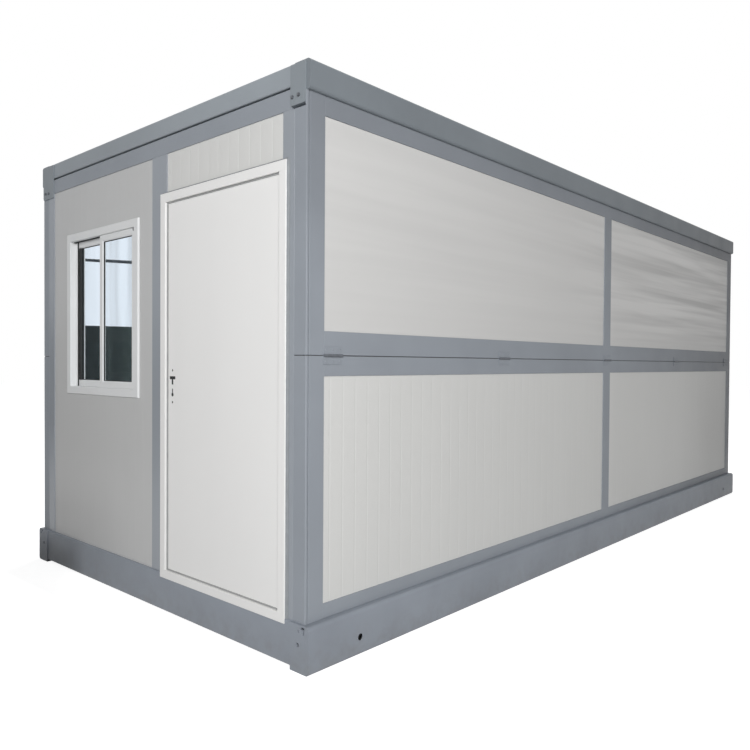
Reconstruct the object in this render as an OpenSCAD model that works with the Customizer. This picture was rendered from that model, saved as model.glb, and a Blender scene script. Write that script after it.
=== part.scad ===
// Folding container house: a steel-framed cabin with white sandwich panels.
// The long walls are hinged halfway up, so that the cabin packs flat for transport.
// Frame: origin at the centre of the base on the ground, +Z up, length along Y.
// The door and the window are in the front wall, which faces -Y.

/* [House] */
// Width across the outer faces of the two long walls
wall_w = 2480; // [2200:10:3000]
// Length between the outer faces of the two end walls
wall_l = 5670; // [4400:10:7200]
// Height from the ground to the top of the roof frame
house_h = 2500; // [2450:10:2800]

/* [Base] */
// Height of the base frame, which carries the walls
base_h = 200; // [180:5:260]
// Step from a long wall out to the face of the base side beam
base_side_out = 40; // [20:5:60]
// Step from an end wall out to the ends of the base side beams
base_end_out = 15; // [12:1:30]
// Width of the flanges of the base end beams
base_end_flange = 96; // [80:1:110]
// How far the end beams sit behind the ends of the side beams
base_end_back = 4; // [2:1:6]
// How far the underside of the end beams is off the ground
base_end_lift = 12; // [4:1:30]
// Radius of the outer edges of the base side beams
base_round = 18; // [10:1:24]
// Radius of the outer edges of the base end beams
base_end_round = 9; // [5:0.5:14]
// Diameter of the lifting holes in the base side beams
lift_hole_d = 30; // [16:1:40]
// Distance of a lifting hole from the outer face of the end wall
lift_hole_in = 290; // [150:5:600]
// Height of the lifting holes above the ground
lift_hole_z = 80; // [50:1:110]
// Thickness of the steel in the base beams
base_steel = 4; // [3:0.5:6]
// Thickness of the plates that close the ends of the side beams
end_cap_t = 10; // [6:1:14]
// Smallest radius inside a bent edge, where the steel is as thick as the outer radius
bend_min = 0.5; // [0.2:0.1:1]
// Number of cross joists under the floor
floor_joist_count = 9; // [5:1:13]
// Width of a floor joist
floor_joist_w = 60; // [40:5:80]
// Depth of a floor joist
floor_joist_h = 80; // [60:5:100]
// Thickness of the floor deck
deck_t = 18; // [12:1:30]

/* [Base end plates] */
// Diameter of the round hole in the end plate of a base side beam
end_hole_d = 18; // [10:1:24]
// Distance of the round hole from the beam's outer face
end_hole_in = 69; // [50:1:76]
// Distance of the round hole below the beam's top
end_hole_down = 85; // [60:1:110]
// Diameter of the small hole beside the slot
end_pin_hole_d = 9; // [5:1:12]
// Distance of the small hole from the beam's outer face
end_pin_hole_in = 64; // [60:1:76]
// Distance of the small hole below the beam's top
end_pin_hole_down = 29; // [14:1:40]
// Width of the two arms of the angled slot
end_slot_w = 10; // [6:1:12]
// Length of the slot's level arm
end_slot_wide = 26; // [18:1:30]
// Length of the slot's upright arm
end_slot_h = 30; // [18:1:36]
// Distance of the slot's upright arm from the beam's outer face
end_slot_in = 26; // [25:1:28]
// Distance of the slot below the beam's top
end_slot_down = 7; // [7:1:16]

/* [Roof] */
// Height of the roof side beams
roof_beam_h = 124; // [100:1:160]
// Height of the roof end beams
roof_end_h = 90; // [70:1:98]
// Step from a long wall out to the face of the roof side beam
roof_side_out = 18; // [5:1:30]
// Width of the flanges of the roof end beams
roof_end_flange = 80; // [60:1:90]
// Radius of the outer edges of the roof side beams
roof_round = 14; // [6:1:20]
// Radius of the outer edges of the roof end beams
roof_end_round = 7; // [3:0.5:12]
// Thickness of the steel in the roof beams
roof_steel = 4; // [3:0.5:6]
// Height of the open slit between the roof end beam and the wall's head beam
roof_slit = 10; // [6:1:16]
// Number of cross joists in the roof
roof_joist_count = 7; // [4:1:10]
// Width of a roof joist
roof_joist_w = 50; // [30:5:60]
// Thickness of the ceiling panel
ceiling_t = 20; // [12:1:24]
// Thickness of the roof sheet
roof_sheet_t = 4; // [2:1:6]
// Distance of the roof sheet below the top of the frame
roof_sheet_drop = 26; // [22:1:30]
// Spacing of the ribs in the roof sheet
roof_rib_pitch = 205; // [150:5:300]
// Height of the ribs in the roof sheet
roof_rib_h = 14; // [8:1:16]
// Width of a rib at its foot
roof_rib_w = 42; // [30:1:60]
// Width of a rib at its top
roof_rib_top_w = 22; // [10:1:28]

/* [Corner plates] */
// Width of the plates that bolt the right corners of the roof together
plate_w = 90; // [60:1:110]
// Thickness of a corner plate
plate_t = 6; // [4:1:8]
// Distance of a corner plate from the outer face of the long wall
plate_in = 6; // [0:1:20]
// Height of a right corner plate's lower edge over the top of the end wall's panels
plate_lift = 10; // [2:1:20]
// Distance of a left corner plate's lower edge below the top of the end wall's panels
left_plate_low = 26; // [0:1:40]
// Distance of a corner plate below the top of the roof frame
plate_drop = 6; // [2:1:20]
// Radius of a corner plate's lower corners
plate_round = 12; // [6:1:20]
// Height of the slot under a right corner plate
plate_slot_h = 12; // [6:1:16]
// Depth of the slot under a right corner plate
plate_slot_depth = 20; // [10:1:30]
// Distance of the slot's ends from the sides of the plate
plate_slot_in = 2; // [0:1:10]

/* [Long walls] */
// Thickness of a long wall
long_t = 75; // [60:1:80]
// Height of the fold line above the ground
fold_z = 1302; // [1150:1:1400]
// Gap between the upper and lower wall halves at the fold line
fold_gap = 4; // [2:1:8]
// Width of the posts at the ends of a long wall
long_post_w = 102; // [80:1:130]
// Width of the post in the middle of a long wall
long_mid_w = 104; // [80:1:140]
// Height of the lowest rail of a long wall
sill_rail_h = 62; // [40:1:100]
// Height of the rail under the fold line
fold_rail_low_h = 84; // [60:1:120]
// Height of the rail over the fold line
fold_rail_high_h = 100; // [60:1:130]
// Height of the rail under the roof beam
top_rail_h = 81; // [50:1:110]
// Thickness of the wall panels
panel_t = 50; // [40:1:54]
// Distance of a panel's face behind the face of its frame
panel_back = 5; // [2:1:10]
// Number of hinges along the fold line of one wall
fold_hinge_count = 5; // [3:1:8]
// Length of a fold hinge
fold_hinge_l = 110; // [80:5:160]
// Height of one leaf of a fold hinge
fold_hinge_leaf = 38; // [25:1:55]
// Thickness of a hinge leaf
fold_hinge_t = 3; // [2:0.5:5]
// Diameter of the barrel of a fold hinge
fold_hinge_d = 12; // [8:1:20]
// Distance of the outermost hinge's middle from the end of the wall
fold_hinge_in = 150; // [100:5:300]

/* [End walls] */
// Thickness of an end wall
end_t = 60; // [58:1:75]
// Width of an end wall's side posts
end_post_w = 73; // [60:1:80]
// Height of the head beam over an end wall
head_beam_h = 84; // [60:1:110]
// Width of the post between the door and the window
mid_post_w = 138; // [120:1:150]
// Width of the middle post in the rear wall
rear_mid_w = 110; // [60:1:140]

/* [Door] */
// Width of the doorway between its posts
doorway_w = 892; // [720:1:960]
// Thickness of the door frame's jambs between the posts and the clear opening
door_jamb_t = 8.5; // [5:0.5:20]
// Clear height inside the door frame
door_clear_h = 1847; // [1700:1:1860]
// Width of the door frame's face
door_face_w = 45; // [36:1:56]
// Height of the sill bar over the base frame
door_sill_h = 22; // [15:1:35]
// How far the sill's lip hangs below the top of the base frame
door_lip_h = 20; // [8:1:30]
// Height of the door frame's head inside the wall
door_head_body = 20; // [10:1:30]
// Depth of the leaf's face behind the frame's face
leaf_back = 13; // [8:1:16]
// Thickness of the door leaf
leaf_t = 45; // [40:1:50]
// Gap around the door leaf
leaf_gap = 5; // [5:0.5:8]
// Distance of the lock holes from the free edge of the leaf
lock_in = 43; // [40:1:100]
// Height of the lock's middle above the ground
lock_z = 1150; // [1000:5:1250]
// Distance between the two screw holes of the lock
lock_screw_gap = 159; // [120:1:200]
// Diameter of the lock's screw holes
lock_screw_d = 9; // [5:1:12]
// Diameter of the round part of the lock cylinder's hole
lock_cylinder_d = 20; // [14:1:24]
// Height of the whole cylinder hole
lock_cylinder_h = 39; // [26:1:50]
// Distance of the cylinder hole below the lock's middle
lock_cylinder_down = 41; // [30:1:60]
// Width of the T-shaped slot for the handle
lock_slot_wide = 52; // [30:1:60]
// Width of the slot's arms
lock_slot_w = 15; // [8:1:20]
// Height of the slot
lock_slot_h = 41; // [30:1:50]
// Distance of the slot's cross arm above the lock's middle
lock_slot_up = 42.5; // [34:0.5:60]
// Number of door hinges
door_hinge_count = 3; // [2:1:4]
// Radius of a door hinge's knuckles
knuckle_r = 7; // [6:0.5:8]
// Radius of a door hinge's pin
pin_r = 3; // [2:0.5:4]
// Gap between a knuckle and the inner face of the leaf
knuckle_back = 1; // [0.5:0.5:2]
// Length of one knuckle
knuckle_l = 50; // [30:5:70]
// Gap between the two knuckles of a hinge
knuckle_gap = 0.5; // [0.2:0.1:1]
// Distance of the outermost hinges from the ends of the leaf
door_hinge_in = 230; // [150:5:350]
// Width of the hinge plate on the leaf
hinge_plate_w = 36; // [20:1:38]
// Thickness of a hinge plate
hinge_plate_t = 3; // [2:0.5:4]
// Clearance between a hinge pin and its knuckle
pin_clear = 0.1; // [0.05:0.05:0.3]

/* [Window] */
// Width of the window frame over its trim
window_w = 832; // [700:1:1000]
// Height of the window frame over its trim
window_h = 956; // [700:1:1060]
// Height of the window frame's lower edge above the ground
window_z = 1078; // [900:1:1200]
// Share of the bay's free width that lies on the side of the window away from the door
window_place = 0.578; // [0.3:0.001:0.7]
// Width of the trim that laps over the panels
window_trim_w = 20; // [10:1:30]
// Thickness of the trim that laps over the panels
window_trim_t = 5; // [3:1:8]
// Width of the frame bars inside the wall
window_body_w = 25; // [15:1:35]
// Width of the bars of a sliding sash
sash_bar_w = 38; // [25:1:45]
// Thickness of a sliding sash
sash_t = 24; // [16:1:25]
// Gap between the two sliding sashes
sash_gap = 4; // [2:1:8]
// Distance of the outer sash behind the face of the wall
sash_back = 4; // [2:1:8]
// How far the two closed sashes lap over each other
sash_lap = 40; // [30:1:60]
// Thickness of the glass
glass_t = 5; // [4:1:8]

/* [Hidden] */
$fn = 48;

// How far a cut runs past the face it is made in
cut_past = 1;

half_w = wall_w / 2;
half_l = wall_l / 2;
inner_x = half_w - long_t;

// Base frame
base_x = half_w + base_side_out;
base_y = half_l + base_end_out;
base_flange = base_x - inner_x;
base_end_y = base_y - base_end_back;
base_inner_y = base_end_y - base_end_flange;
deck_z = base_h - deck_t;
bend_z = base_h - base_round;
joist_shoulder = min(deck_z, bend_z);
joist_z = deck_z - floor_joist_h;

// Roof frame
roof_z = house_h - roof_beam_h;
roof_x = half_w + roof_side_out;
roof_flange = roof_x - inner_x;
roof_end_z = house_h - roof_end_h;
head_z = roof_end_z - roof_slit;
wall_top = head_z - head_beam_h;
ceiling_z = roof_z + roof_steel;
roof_joist_z = ceiling_z + ceiling_t;
roof_sheet_z = house_h - roof_sheet_drop - roof_sheet_t;
plate_x = half_w - plate_in;
plate_z = wall_top + plate_lift;
plate_top = house_h - plate_drop;

// Long walls
fold_low = fold_z - fold_gap / 2;
fold_high = fold_z + fold_gap / 2;

// End walls
end_out = half_l;
end_in = half_l - end_t;
post_in_x = inner_x - end_post_w;
doorway_x = post_in_x - doorway_w;
mid_post_x = doorway_x - mid_post_w;

// Door frame and leaf
door_clear_w = doorway_w - 2 * door_jamb_t;
clear_x = [doorway_x + door_jamb_t, doorway_x + door_jamb_t + door_clear_w];
clear_z = [base_h + door_sill_h, base_h + door_sill_h + door_clear_h];
frame_face = half_l + base_end_out;
leaf_out = frame_face - leaf_back;
leaf_in = leaf_out - leaf_t;
leaf_x = [clear_x[0] + leaf_gap, clear_x[1] - leaf_gap];
leaf_z = [clear_z[0] + leaf_gap, clear_z[1] - leaf_gap];
pin_x = clear_x[1] - leaf_gap / 2;
pin_back = knuckle_back + knuckle_r;
pin_y = leaf_in - pin_back;
lock_x = leaf_x[0] + lock_in;

// Window
bay_free = mid_post_x + post_in_x - window_w;
window_left = window_place * bay_free - post_in_x;
frame_x = [window_left, window_left + window_w];
frame_z = [window_z, window_z + window_h];
hole_x = [frame_x[0] + window_trim_w, frame_x[1] - window_trim_w];
hole_z = [frame_z[0] + window_trim_w, frame_z[1] - window_trim_w];
light_x = [hole_x[0] + window_body_w, hole_x[1] - window_body_w];
light_z = [hole_z[0] + window_body_w, hole_z[1] - window_body_w];
sash_w = (light_x[1] - light_x[0] + sash_lap) / 2;
outer_sash = half_l - sash_back;
inner_sash = outer_sash - sash_t - sash_gap;

steel_grey = [0.30, 0.33, 0.37];
panel_white = [0.82, 0.82, 0.81];
trim_white = [0.88, 0.88, 0.88];
deck_grey = [0.55, 0.50, 0.44];
glass_tint = [0.55, 0.62, 0.66, 0.5];

// A plain block between two values on each axis
module block(x, y, z) {
    translate([x[0], y[0], z[0]])
        cube([x[1] - x[0], y[1] - y[0], z[1] - z[0]]);
}

// The same piece on the right and on the left
module both_sides() {
    children();
    mirror([1, 0, 0]) children();
}

// The same piece at the front and at the rear
module both_ends() {
    children();
    mirror([0, 1, 0]) children();
}

// A flat outline with its two right-hand corners rounded, from the origin to the left and up
module bullnose(w, h, r) {
    translate([-w, 0]) square([w - r, h]);
    translate([-w, r]) square([w, h - 2 * r]);
    translate([-r, r]) circle(r);
    translate([-r, h - r]) circle(r);
}

// The section of a cold-formed channel: its web at the right, its flanges to the left
module channel(w, h, r, steel) {
    difference() {
        bullnose(w, h, r);
        translate([-steel, steel]) bullnose(w, h - 2 * steel, max(r - steel, bend_min));
    }
}

// A channel of the given length along Y, centred, with closed ends where cap is not 0
module channel_beam(length, w, h, r, steel, cap = 0) {
    rotate([90, 0, 0]) {
        linear_extrude(length, center = true) channel(w, h, r, steel);
        if (cap > 0) {
            for (side = [-1, 1])
                translate([0, 0, side * (length - cap) / 2])
                    linear_extrude(cap, center = true) bullnose(w, h, r);
        }
    }
}

// ---- Base ----

// A round hole through the end plate of the right base beam, at the front
module end_plate_hole(inset, down, d) {
    translate([base_x - inset, -base_y + end_cap_t + cut_past, base_h - down])
        rotate([90, 0, 0]) cylinder(h = end_cap_t + 2 * cut_past, d = d);
}

// The holes and the angled slot in the end plates of the right base beam
module end_plate_cuts() {
    slot_x = base_x - end_slot_in;
    slot_z = base_h - end_slot_down;
    depth = [-base_y - cut_past, -base_y + end_cap_t + cut_past];
    both_ends() {
        end_plate_hole(end_hole_in, end_hole_down, end_hole_d);
        end_plate_hole(end_pin_hole_in, end_pin_hole_down, end_pin_hole_d);
        block([slot_x - end_slot_wide, slot_x], depth, [slot_z - end_slot_w, slot_z]);
        block([slot_x - end_slot_w, slot_x], depth, [slot_z - end_slot_h, slot_z]);
    }
}

module base_side_beams() {
    color(steel_grey) both_sides() difference() {
        translate([base_x, 0, 0])
            channel_beam(2 * base_y, base_flange, base_h, base_round, base_steel, end_cap_t);
        end_plate_cuts();
        for (end = [-1, 1])
            translate([base_x, end * (half_l - lift_hole_in), lift_hole_z])
                rotate([0, 90, 0])
                    cylinder(h = 4 * base_steel, d = lift_hole_d, center = true);
    }
}

module base_end_beams() {
    color(steel_grey) both_ends()
        translate([0, base_end_y, base_end_lift]) rotate([0, 0, 90])
            channel_beam(2 * inner_x, base_end_flange, base_h - base_end_lift,
                         base_end_round, base_steel);
}

// The joists carry the deck, and their ends step down where the side beams' bends begin
module floor_joists() {
    reach = base_inner_y - floor_joist_w / 2;
    color(steel_grey) for (i = [0 : floor_joist_count - 1])
        translate([0, -reach + 2 * reach * i / (floor_joist_count - 1), 0]) {
            block([-base_x + base_steel, base_x - base_steel],
                  [-floor_joist_w / 2, floor_joist_w / 2],
                  [joist_z, joist_shoulder]);
            if (deck_z > bend_z)
                block([-base_x + base_round, base_x - base_round],
                      [-floor_joist_w / 2, floor_joist_w / 2],
                      [joist_z, deck_z]);
        }
}

module floor_deck() {
    color(deck_grey)
        block([-inner_x, inner_x], [-base_inner_y, base_inner_y], [deck_z, base_h]);
}

// ---- Roof ----

module roof_side_beams() {
    color(steel_grey) both_sides()
        translate([roof_x, 0, roof_z])
            channel_beam(2 * half_l, roof_flange, roof_beam_h, roof_round, roof_steel, end_cap_t);
}

module roof_end_beams() {
    color(steel_grey) both_ends()
        translate([0, half_l, roof_end_z]) rotate([0, 0, 90])
            channel_beam(2 * inner_x, roof_end_flange, roof_end_h,
                         roof_end_round, roof_steel);
}

// A plate on the front of a right corner, with its two lower corners rounded
module corner_plate(x, z) {
    translate([x[0], -half_l, z[0]]) rotate([90, 0, 0]) linear_extrude(plate_t) {
        w = x[1] - x[0];
        h = z[1] - z[0];
        translate([0, plate_round]) square([w, h - plate_round]);
        translate([plate_round, 0]) square([w - 2 * plate_round, h]);
        for (side = [plate_round, w - plate_round])
            translate([side, plate_round]) circle(plate_round);
    }
}

module roof_corner_plates() {
    color(steel_grey) both_ends() {
        corner_plate([plate_x - plate_w, plate_x], [plate_z, plate_top]);
        mirror([1, 0, 0]) corner_plate([post_in_x, plate_x], [wall_top - left_plate_low, plate_top]);
    }
}

// The slots under the right corner plates, to be cut from the posts and the head beams
module plate_slots() {
    r = plate_slot_h / 2;
    x = [plate_x - plate_w + plate_slot_in + r, plate_x - plate_slot_in - r];
    both_ends() {
        block(x, [-half_l - cut_past, -half_l + plate_slot_depth],
              [plate_z - plate_slot_h, plate_z]);
        for (end = x)
            translate([end, -half_l + plate_slot_depth, plate_z - r]) rotate([90, 0, 0])
                cylinder(h = plate_slot_depth + cut_past, r = r);
    }
}

module ceiling_panel() {
    color(panel_white)
        block([-roof_x + roof_round, roof_x - roof_round], [-end_in, end_in],
              [ceiling_z, ceiling_z + ceiling_t]);
}

module roof_joists() {
    reach = half_l - roof_end_flange - roof_joist_w / 2;
    color(steel_grey) for (i = [0 : roof_joist_count - 1]) {
        y = -reach + 2 * reach * i / (roof_joist_count - 1);
        block([-roof_x + roof_steel, roof_x - roof_steel],
              [y - roof_joist_w / 2, y + roof_joist_w / 2],
              [roof_joist_z, roof_sheet_z]);
    }
}

// The sheet lies on the joists and has low ribs from side to side
module roof_sheet() {
    reach = half_l - end_cap_t;
    pairs = floor((reach - roof_rib_pitch / 2) / roof_rib_pitch);
    rib = [[-roof_rib_w, 0], [-roof_rib_top_w, roof_rib_h],
           [roof_rib_top_w, roof_rib_h], [roof_rib_w, 0]];
    rib_points = [
        for (i = [-pairs : pairs], p = rib)
            [i * roof_rib_pitch + p[0] / 2, roof_sheet_t + p[1]]
    ];
    outline = concat([[-reach, 0], [-reach, roof_sheet_t]], rib_points,
                     [[reach, roof_sheet_t], [reach, 0]]);
    color(panel_white)
        translate([0, 0, roof_sheet_z]) rotate([90, 0, 90])
            linear_extrude(2 * (roof_x - roof_round), center = true) polygon(outline);
}

// ---- Long walls ----

// The three posts of one wall half, on the right side
module long_posts(z) {
    for (y = [[-half_l, -half_l + long_post_w],
              [-long_mid_w / 2, long_mid_w / 2],
              [half_l - long_post_w, half_l]])
        block([inner_x, half_w], y, z);
}

// What fills the two bays between the posts of one wall half, on the right side
module long_bays(x, z) {
    for (y = [[-half_l + long_post_w, -long_mid_w / 2],
              [long_mid_w / 2, half_l - long_post_w]])
        block(x, y, z);
}

module long_rails(z, low_h, high_h) {
    long_bays([inner_x, half_w], [z[0], z[0] + low_h]);
    long_bays([inner_x, half_w], [z[1] - high_h, z[1]]);
}

module long_panels(z) {
    face = half_w - panel_back;
    long_bays([face - panel_t, face], z);
}

// The hinges that join the two wall halves on the outside, on the right side
module fold_hinges() {
    reach = half_l - fold_hinge_in;
    for (i = [0 : fold_hinge_count - 1])
        translate([half_w, -reach + 2 * reach * i / (fold_hinge_count - 1), fold_z]) {
            block([0, fold_hinge_t], [-fold_hinge_l / 2, fold_hinge_l / 2],
                  [-fold_hinge_leaf, fold_hinge_leaf]);
            translate([fold_hinge_d / 2, 0, 0]) rotate([90, 0, 0])
                cylinder(h = fold_hinge_l, d = fold_hinge_d, center = true);
        }
}

lower = [base_h, fold_low];
upper = [fold_high, roof_z];
lower_bay = [base_h + sill_rail_h, fold_low - fold_rail_low_h];
upper_bay = [fold_high + fold_rail_high_h, roof_z - top_rail_h];

module right_lower_posts() { color(steel_grey) long_posts(lower); }
module right_lower_rails() { color(steel_grey) long_rails(lower, sill_rail_h, fold_rail_low_h); }
module right_lower_panels() { color(panel_white) long_panels(lower_bay); }
module right_upper_posts() {
    color(steel_grey) difference() {
        long_posts(upper);
        plate_slots();
    }
}
module right_upper_rails() { color(steel_grey) long_rails(upper, fold_rail_high_h, top_rail_h); }
module right_upper_panels() { color(panel_white) long_panels(upper_bay); }
module right_fold_hinges() { color(steel_grey) fold_hinges(); }

module left_lower_posts() { mirror([1, 0, 0]) right_lower_posts(); }
module left_lower_rails() { mirror([1, 0, 0]) right_lower_rails(); }
module left_lower_panels() { mirror([1, 0, 0]) right_lower_panels(); }
module left_upper_posts() { color(steel_grey) mirror([1, 0, 0]) long_posts(upper); }
module left_upper_rails() { mirror([1, 0, 0]) right_upper_rails(); }
module left_upper_panels() { mirror([1, 0, 0]) right_upper_panels(); }
module left_fold_hinges() { mirror([1, 0, 0]) right_fold_hinges(); }

// ---- End walls ----

// A block in the front wall, through its whole thickness
module front_block(x, z) { block(x, [-end_out, -end_in], z); }

// A panel in the front wall, a little behind the face of its frame
module front_panel(x, z) {
    face = -end_out + panel_back;
    block(x, [face, face + panel_t], z);
}

module head_beams() {
    color(steel_grey) difference() {
        both_ends() front_block([-inner_x, inner_x], [wall_top, head_z]);
        plate_slots();
    }
}

module front_posts() {
    color(steel_grey) difference() {
        for (x = [[-inner_x, -post_in_x], [mid_post_x, doorway_x], [post_in_x, inner_x]])
            front_block(x, [base_h, wall_top]);
        plate_slots();
    }
}

module over_door_panel() {
    color(panel_white)
        front_panel([doorway_x, post_in_x], [clear_z[1] + door_head_body, wall_top]);
}

module window_panels_above_below() {
    color(panel_white) {
        front_panel([-post_in_x, mid_post_x], [base_h, hole_z[0]]);
        front_panel([-post_in_x, mid_post_x], [hole_z[1], wall_top]);
    }
}

module window_panels_beside() {
    color(panel_white) {
        front_panel([-post_in_x, hole_x[0]], hole_z);
        front_panel([hole_x[1], mid_post_x], hole_z);
    }
}

module rear_posts() {
    color(steel_grey) difference() {
        mirror([0, 1, 0])
            for (x = [[-inner_x, -post_in_x], [-rear_mid_w / 2, rear_mid_w / 2],
                      [post_in_x, inner_x]])
                front_block(x, [base_h, wall_top]);
        plate_slots();
    }
}

module rear_panels() {
    color(panel_white) both_sides() mirror([0, 1, 0])
        front_panel([rear_mid_w / 2, post_in_x], [base_h, wall_top]);
}

// ---- Window ----

// One bar of the window frame: its body in the wall and its trim on the panels
module window_bar(body_x, body_z, trim_x, trim_z) {
    block(body_x, [-end_out, -end_in], body_z);
    block(trim_x, [-end_out - window_trim_t, -end_out + panel_back], trim_z);
}

module window_frame_rails() {
    color(trim_white) {
        window_bar(hole_x, [hole_z[0], light_z[0]], frame_x, [frame_z[0], light_z[0]]);
        window_bar(hole_x, [light_z[1], hole_z[1]], frame_x, [light_z[1], frame_z[1]]);
    }
}

module window_frame_stiles() {
    color(trim_white) {
        window_bar([hole_x[0], light_x[0]], light_z, [frame_x[0], light_x[0]], light_z);
        window_bar([light_x[1], hole_x[1]], light_z, [light_x[1], frame_x[1]], light_z);
    }
}

// A sliding sash that starts at x, with its outer face at y
module sash(x, y) {
    difference() {
        block([x, x + sash_w], [-y, -y + sash_t], light_z);
        block([x + sash_bar_w, x + sash_w - sash_bar_w], [-y - 1, -y + sash_t + 1],
              [light_z[0] + sash_bar_w, light_z[1] - sash_bar_w]);
    }
}

// The pane of the sash that starts at x, with its outer face at y
module pane(x, y) {
    middle = -y + sash_t / 2;
    block([x + sash_bar_w, x + sash_w - sash_bar_w],
          [middle - glass_t / 2, middle + glass_t / 2],
          [light_z[0] + sash_bar_w, light_z[1] - sash_bar_w]);
}

module window_sash_right() { color(trim_white) sash(light_x[1] - sash_w, outer_sash); }
module window_sash_left() { color(trim_white) sash(light_x[0], inner_sash); }

module window_glass() {
    color(glass_tint) {
        pane(light_x[1] - sash_w, outer_sash);
        pane(light_x[0], inner_sash);
    }
}

// ---- Door ----

// One jamb: side is 1 at the hinges and -1 at the lock
module door_jamb(side) {
    clear = side > 0 ? clear_x[1] : clear_x[0];
    post = side > 0 ? post_in_x : doorway_x;
    face = clear + side * door_face_w;
    block([min(clear, face), max(clear, face)], [-frame_face, -end_out], clear_z);
    block([min(clear, post), max(clear, post)], [-frame_face, -leaf_in], clear_z);
}

module door_jambs() {
    color(trim_white) {
        door_jamb(1);
        door_jamb(-1);
    }
}

frame_span = [clear_x[0] - door_face_w, clear_x[1] + door_face_w];

module door_head() {
    top = clear_z[1] + door_head_body;
    color(trim_white) {
        block(frame_span, [-frame_face, -end_out], [clear_z[1], clear_z[1] + door_face_w]);
        block([doorway_x, post_in_x], [-frame_face, -leaf_in], [clear_z[1], top]);
    }
}

module door_sill() {
    color(trim_white) {
        block(frame_span, [-frame_face, -end_out], [base_h, clear_z[0]]);
        block([doorway_x, post_in_x], [-frame_face, -leaf_in], [base_h, clear_z[0]]);
        block(frame_span, [-frame_face, -base_end_y], [base_h - door_lip_h, clear_z[0]]);
    }
}

// The height of the joint between the two knuckles of each door hinge
hinge_z = [
    for (i = [0 : door_hinge_count - 1])
        leaf_z[0] + door_hinge_in
        + i * (leaf_z[1] - leaf_z[0] - 2 * door_hinge_in) / (door_hinge_count - 1)
];

// The lower knuckle of each hinge with its pin and the plate on the jamb
module door_hinge_plates() {
    color(steel_grey) for (z = hinge_z) {
        block([pin_x, post_in_x], [-leaf_in, -leaf_in + hinge_plate_t], [z - knuckle_l, z]);
        translate([pin_x, -pin_y, z - knuckle_l]) cylinder(h = knuckle_l, r = knuckle_r);
        translate([pin_x, -pin_y, z - knuckle_l]) cylinder(h = 2 * knuckle_l, r = pin_r);
    }
}

// The upper knuckle of each hinge, bored for the pin, and the plate on the leaf
module door_hinge_knuckles() {
    color(steel_grey) for (z = hinge_z) difference() {
        union() {
            block([pin_x - hinge_plate_w, pin_x], [-leaf_in, -leaf_in + hinge_plate_t],
                  [z + knuckle_gap, z + knuckle_l]);
            translate([pin_x, -pin_y, z + knuckle_gap])
                cylinder(h = knuckle_l - knuckle_gap, r = knuckle_r);
        }
        translate([pin_x, -pin_y, z - 1])
            cylinder(h = knuckle_l + 2, r = pin_r + pin_clear);
    }
}

// The holes for a lock: two screws, a T-shaped slot for the handle, and the cylinder
module lock_holes() {
    depth = leaf_t + 2;
    slot_top = lock_slot_up + lock_slot_w / 2;
    translate([lock_x, -leaf_in + 1, lock_z]) rotate([90, 0, 0]) {
        for (side = [-1, 1])
            translate([0, side * lock_screw_gap / 2, 0]) cylinder(h = depth, d = lock_screw_d);
        translate([-lock_slot_wide / 2, slot_top - lock_slot_w, 0])
            cube([lock_slot_wide, lock_slot_w, depth]);
        translate([-lock_slot_w / 2, slot_top - lock_slot_h, 0])
            cube([lock_slot_w, lock_slot_h, depth]);
        translate([0, -lock_cylinder_down, 0]) cylinder(h = depth, d = lock_cylinder_d);
        translate([-lock_cylinder_d / 4, -lock_cylinder_down, 0])
            cube([lock_cylinder_d / 2, lock_cylinder_h - lock_cylinder_d / 2, depth]);
    }
}

module door_leaf() {
    color(trim_white) difference() {
        block(leaf_x, [-leaf_out, -leaf_in], leaf_z);
        lock_holes();
    }
}

base_side_beams();
base_end_beams();
floor_joists();
floor_deck();
roof_side_beams();
roof_end_beams();
roof_corner_plates();
ceiling_panel();
roof_joists();
roof_sheet();
right_lower_posts();
right_lower_rails();
right_lower_panels();
right_upper_posts();
right_upper_rails();
right_upper_panels();
right_fold_hinges();
left_lower_posts();
left_lower_rails();
left_lower_panels();
left_upper_posts();
left_upper_rails();
left_upper_panels();
left_fold_hinges();
head_beams();
front_posts();
over_door_panel();
window_panels_above_below();
window_panels_beside();
rear_posts();
rear_panels();
window_frame_rails();
window_frame_stiles();
window_sash_right();
window_sash_left();
window_glass();
door_jambs();
door_head();
door_sill();
door_hinge_plates();
door_leaf();
door_hinge_knuckles();
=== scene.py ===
import logging
import math
from collections.abc import Iterable
from dataclasses import dataclass, field
from enum import Enum

import bpy
import numpy as np
from mathutils import Matrix, Vector
from mathutils.geometry import tessellate_polygon
from numpy.typing import ArrayLike, NDArray


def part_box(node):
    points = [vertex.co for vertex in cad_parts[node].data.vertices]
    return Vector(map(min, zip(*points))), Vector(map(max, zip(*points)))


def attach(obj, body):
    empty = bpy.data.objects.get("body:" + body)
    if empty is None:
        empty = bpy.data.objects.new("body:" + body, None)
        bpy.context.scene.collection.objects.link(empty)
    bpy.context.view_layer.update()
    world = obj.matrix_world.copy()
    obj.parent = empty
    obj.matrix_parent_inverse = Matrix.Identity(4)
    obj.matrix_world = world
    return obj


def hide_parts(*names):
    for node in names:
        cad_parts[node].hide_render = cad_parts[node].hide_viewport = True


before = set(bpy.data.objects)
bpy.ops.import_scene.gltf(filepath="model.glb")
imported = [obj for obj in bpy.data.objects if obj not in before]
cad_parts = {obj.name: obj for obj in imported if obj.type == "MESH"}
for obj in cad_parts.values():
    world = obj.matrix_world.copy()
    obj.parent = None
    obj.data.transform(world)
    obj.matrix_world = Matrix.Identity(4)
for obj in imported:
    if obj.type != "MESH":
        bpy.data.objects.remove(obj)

# A folding container house: what its frame, panels, door, window and roof look like.
# Lengths are in metres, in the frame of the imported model.

Array = NDArray[np.float64]
Box = tuple[Array, Array]
Colour = tuple[float, float, float]
Point = tuple[float, float, float]
Radii = float | tuple[float, float, float, float]
Span = tuple[float, float]

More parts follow.
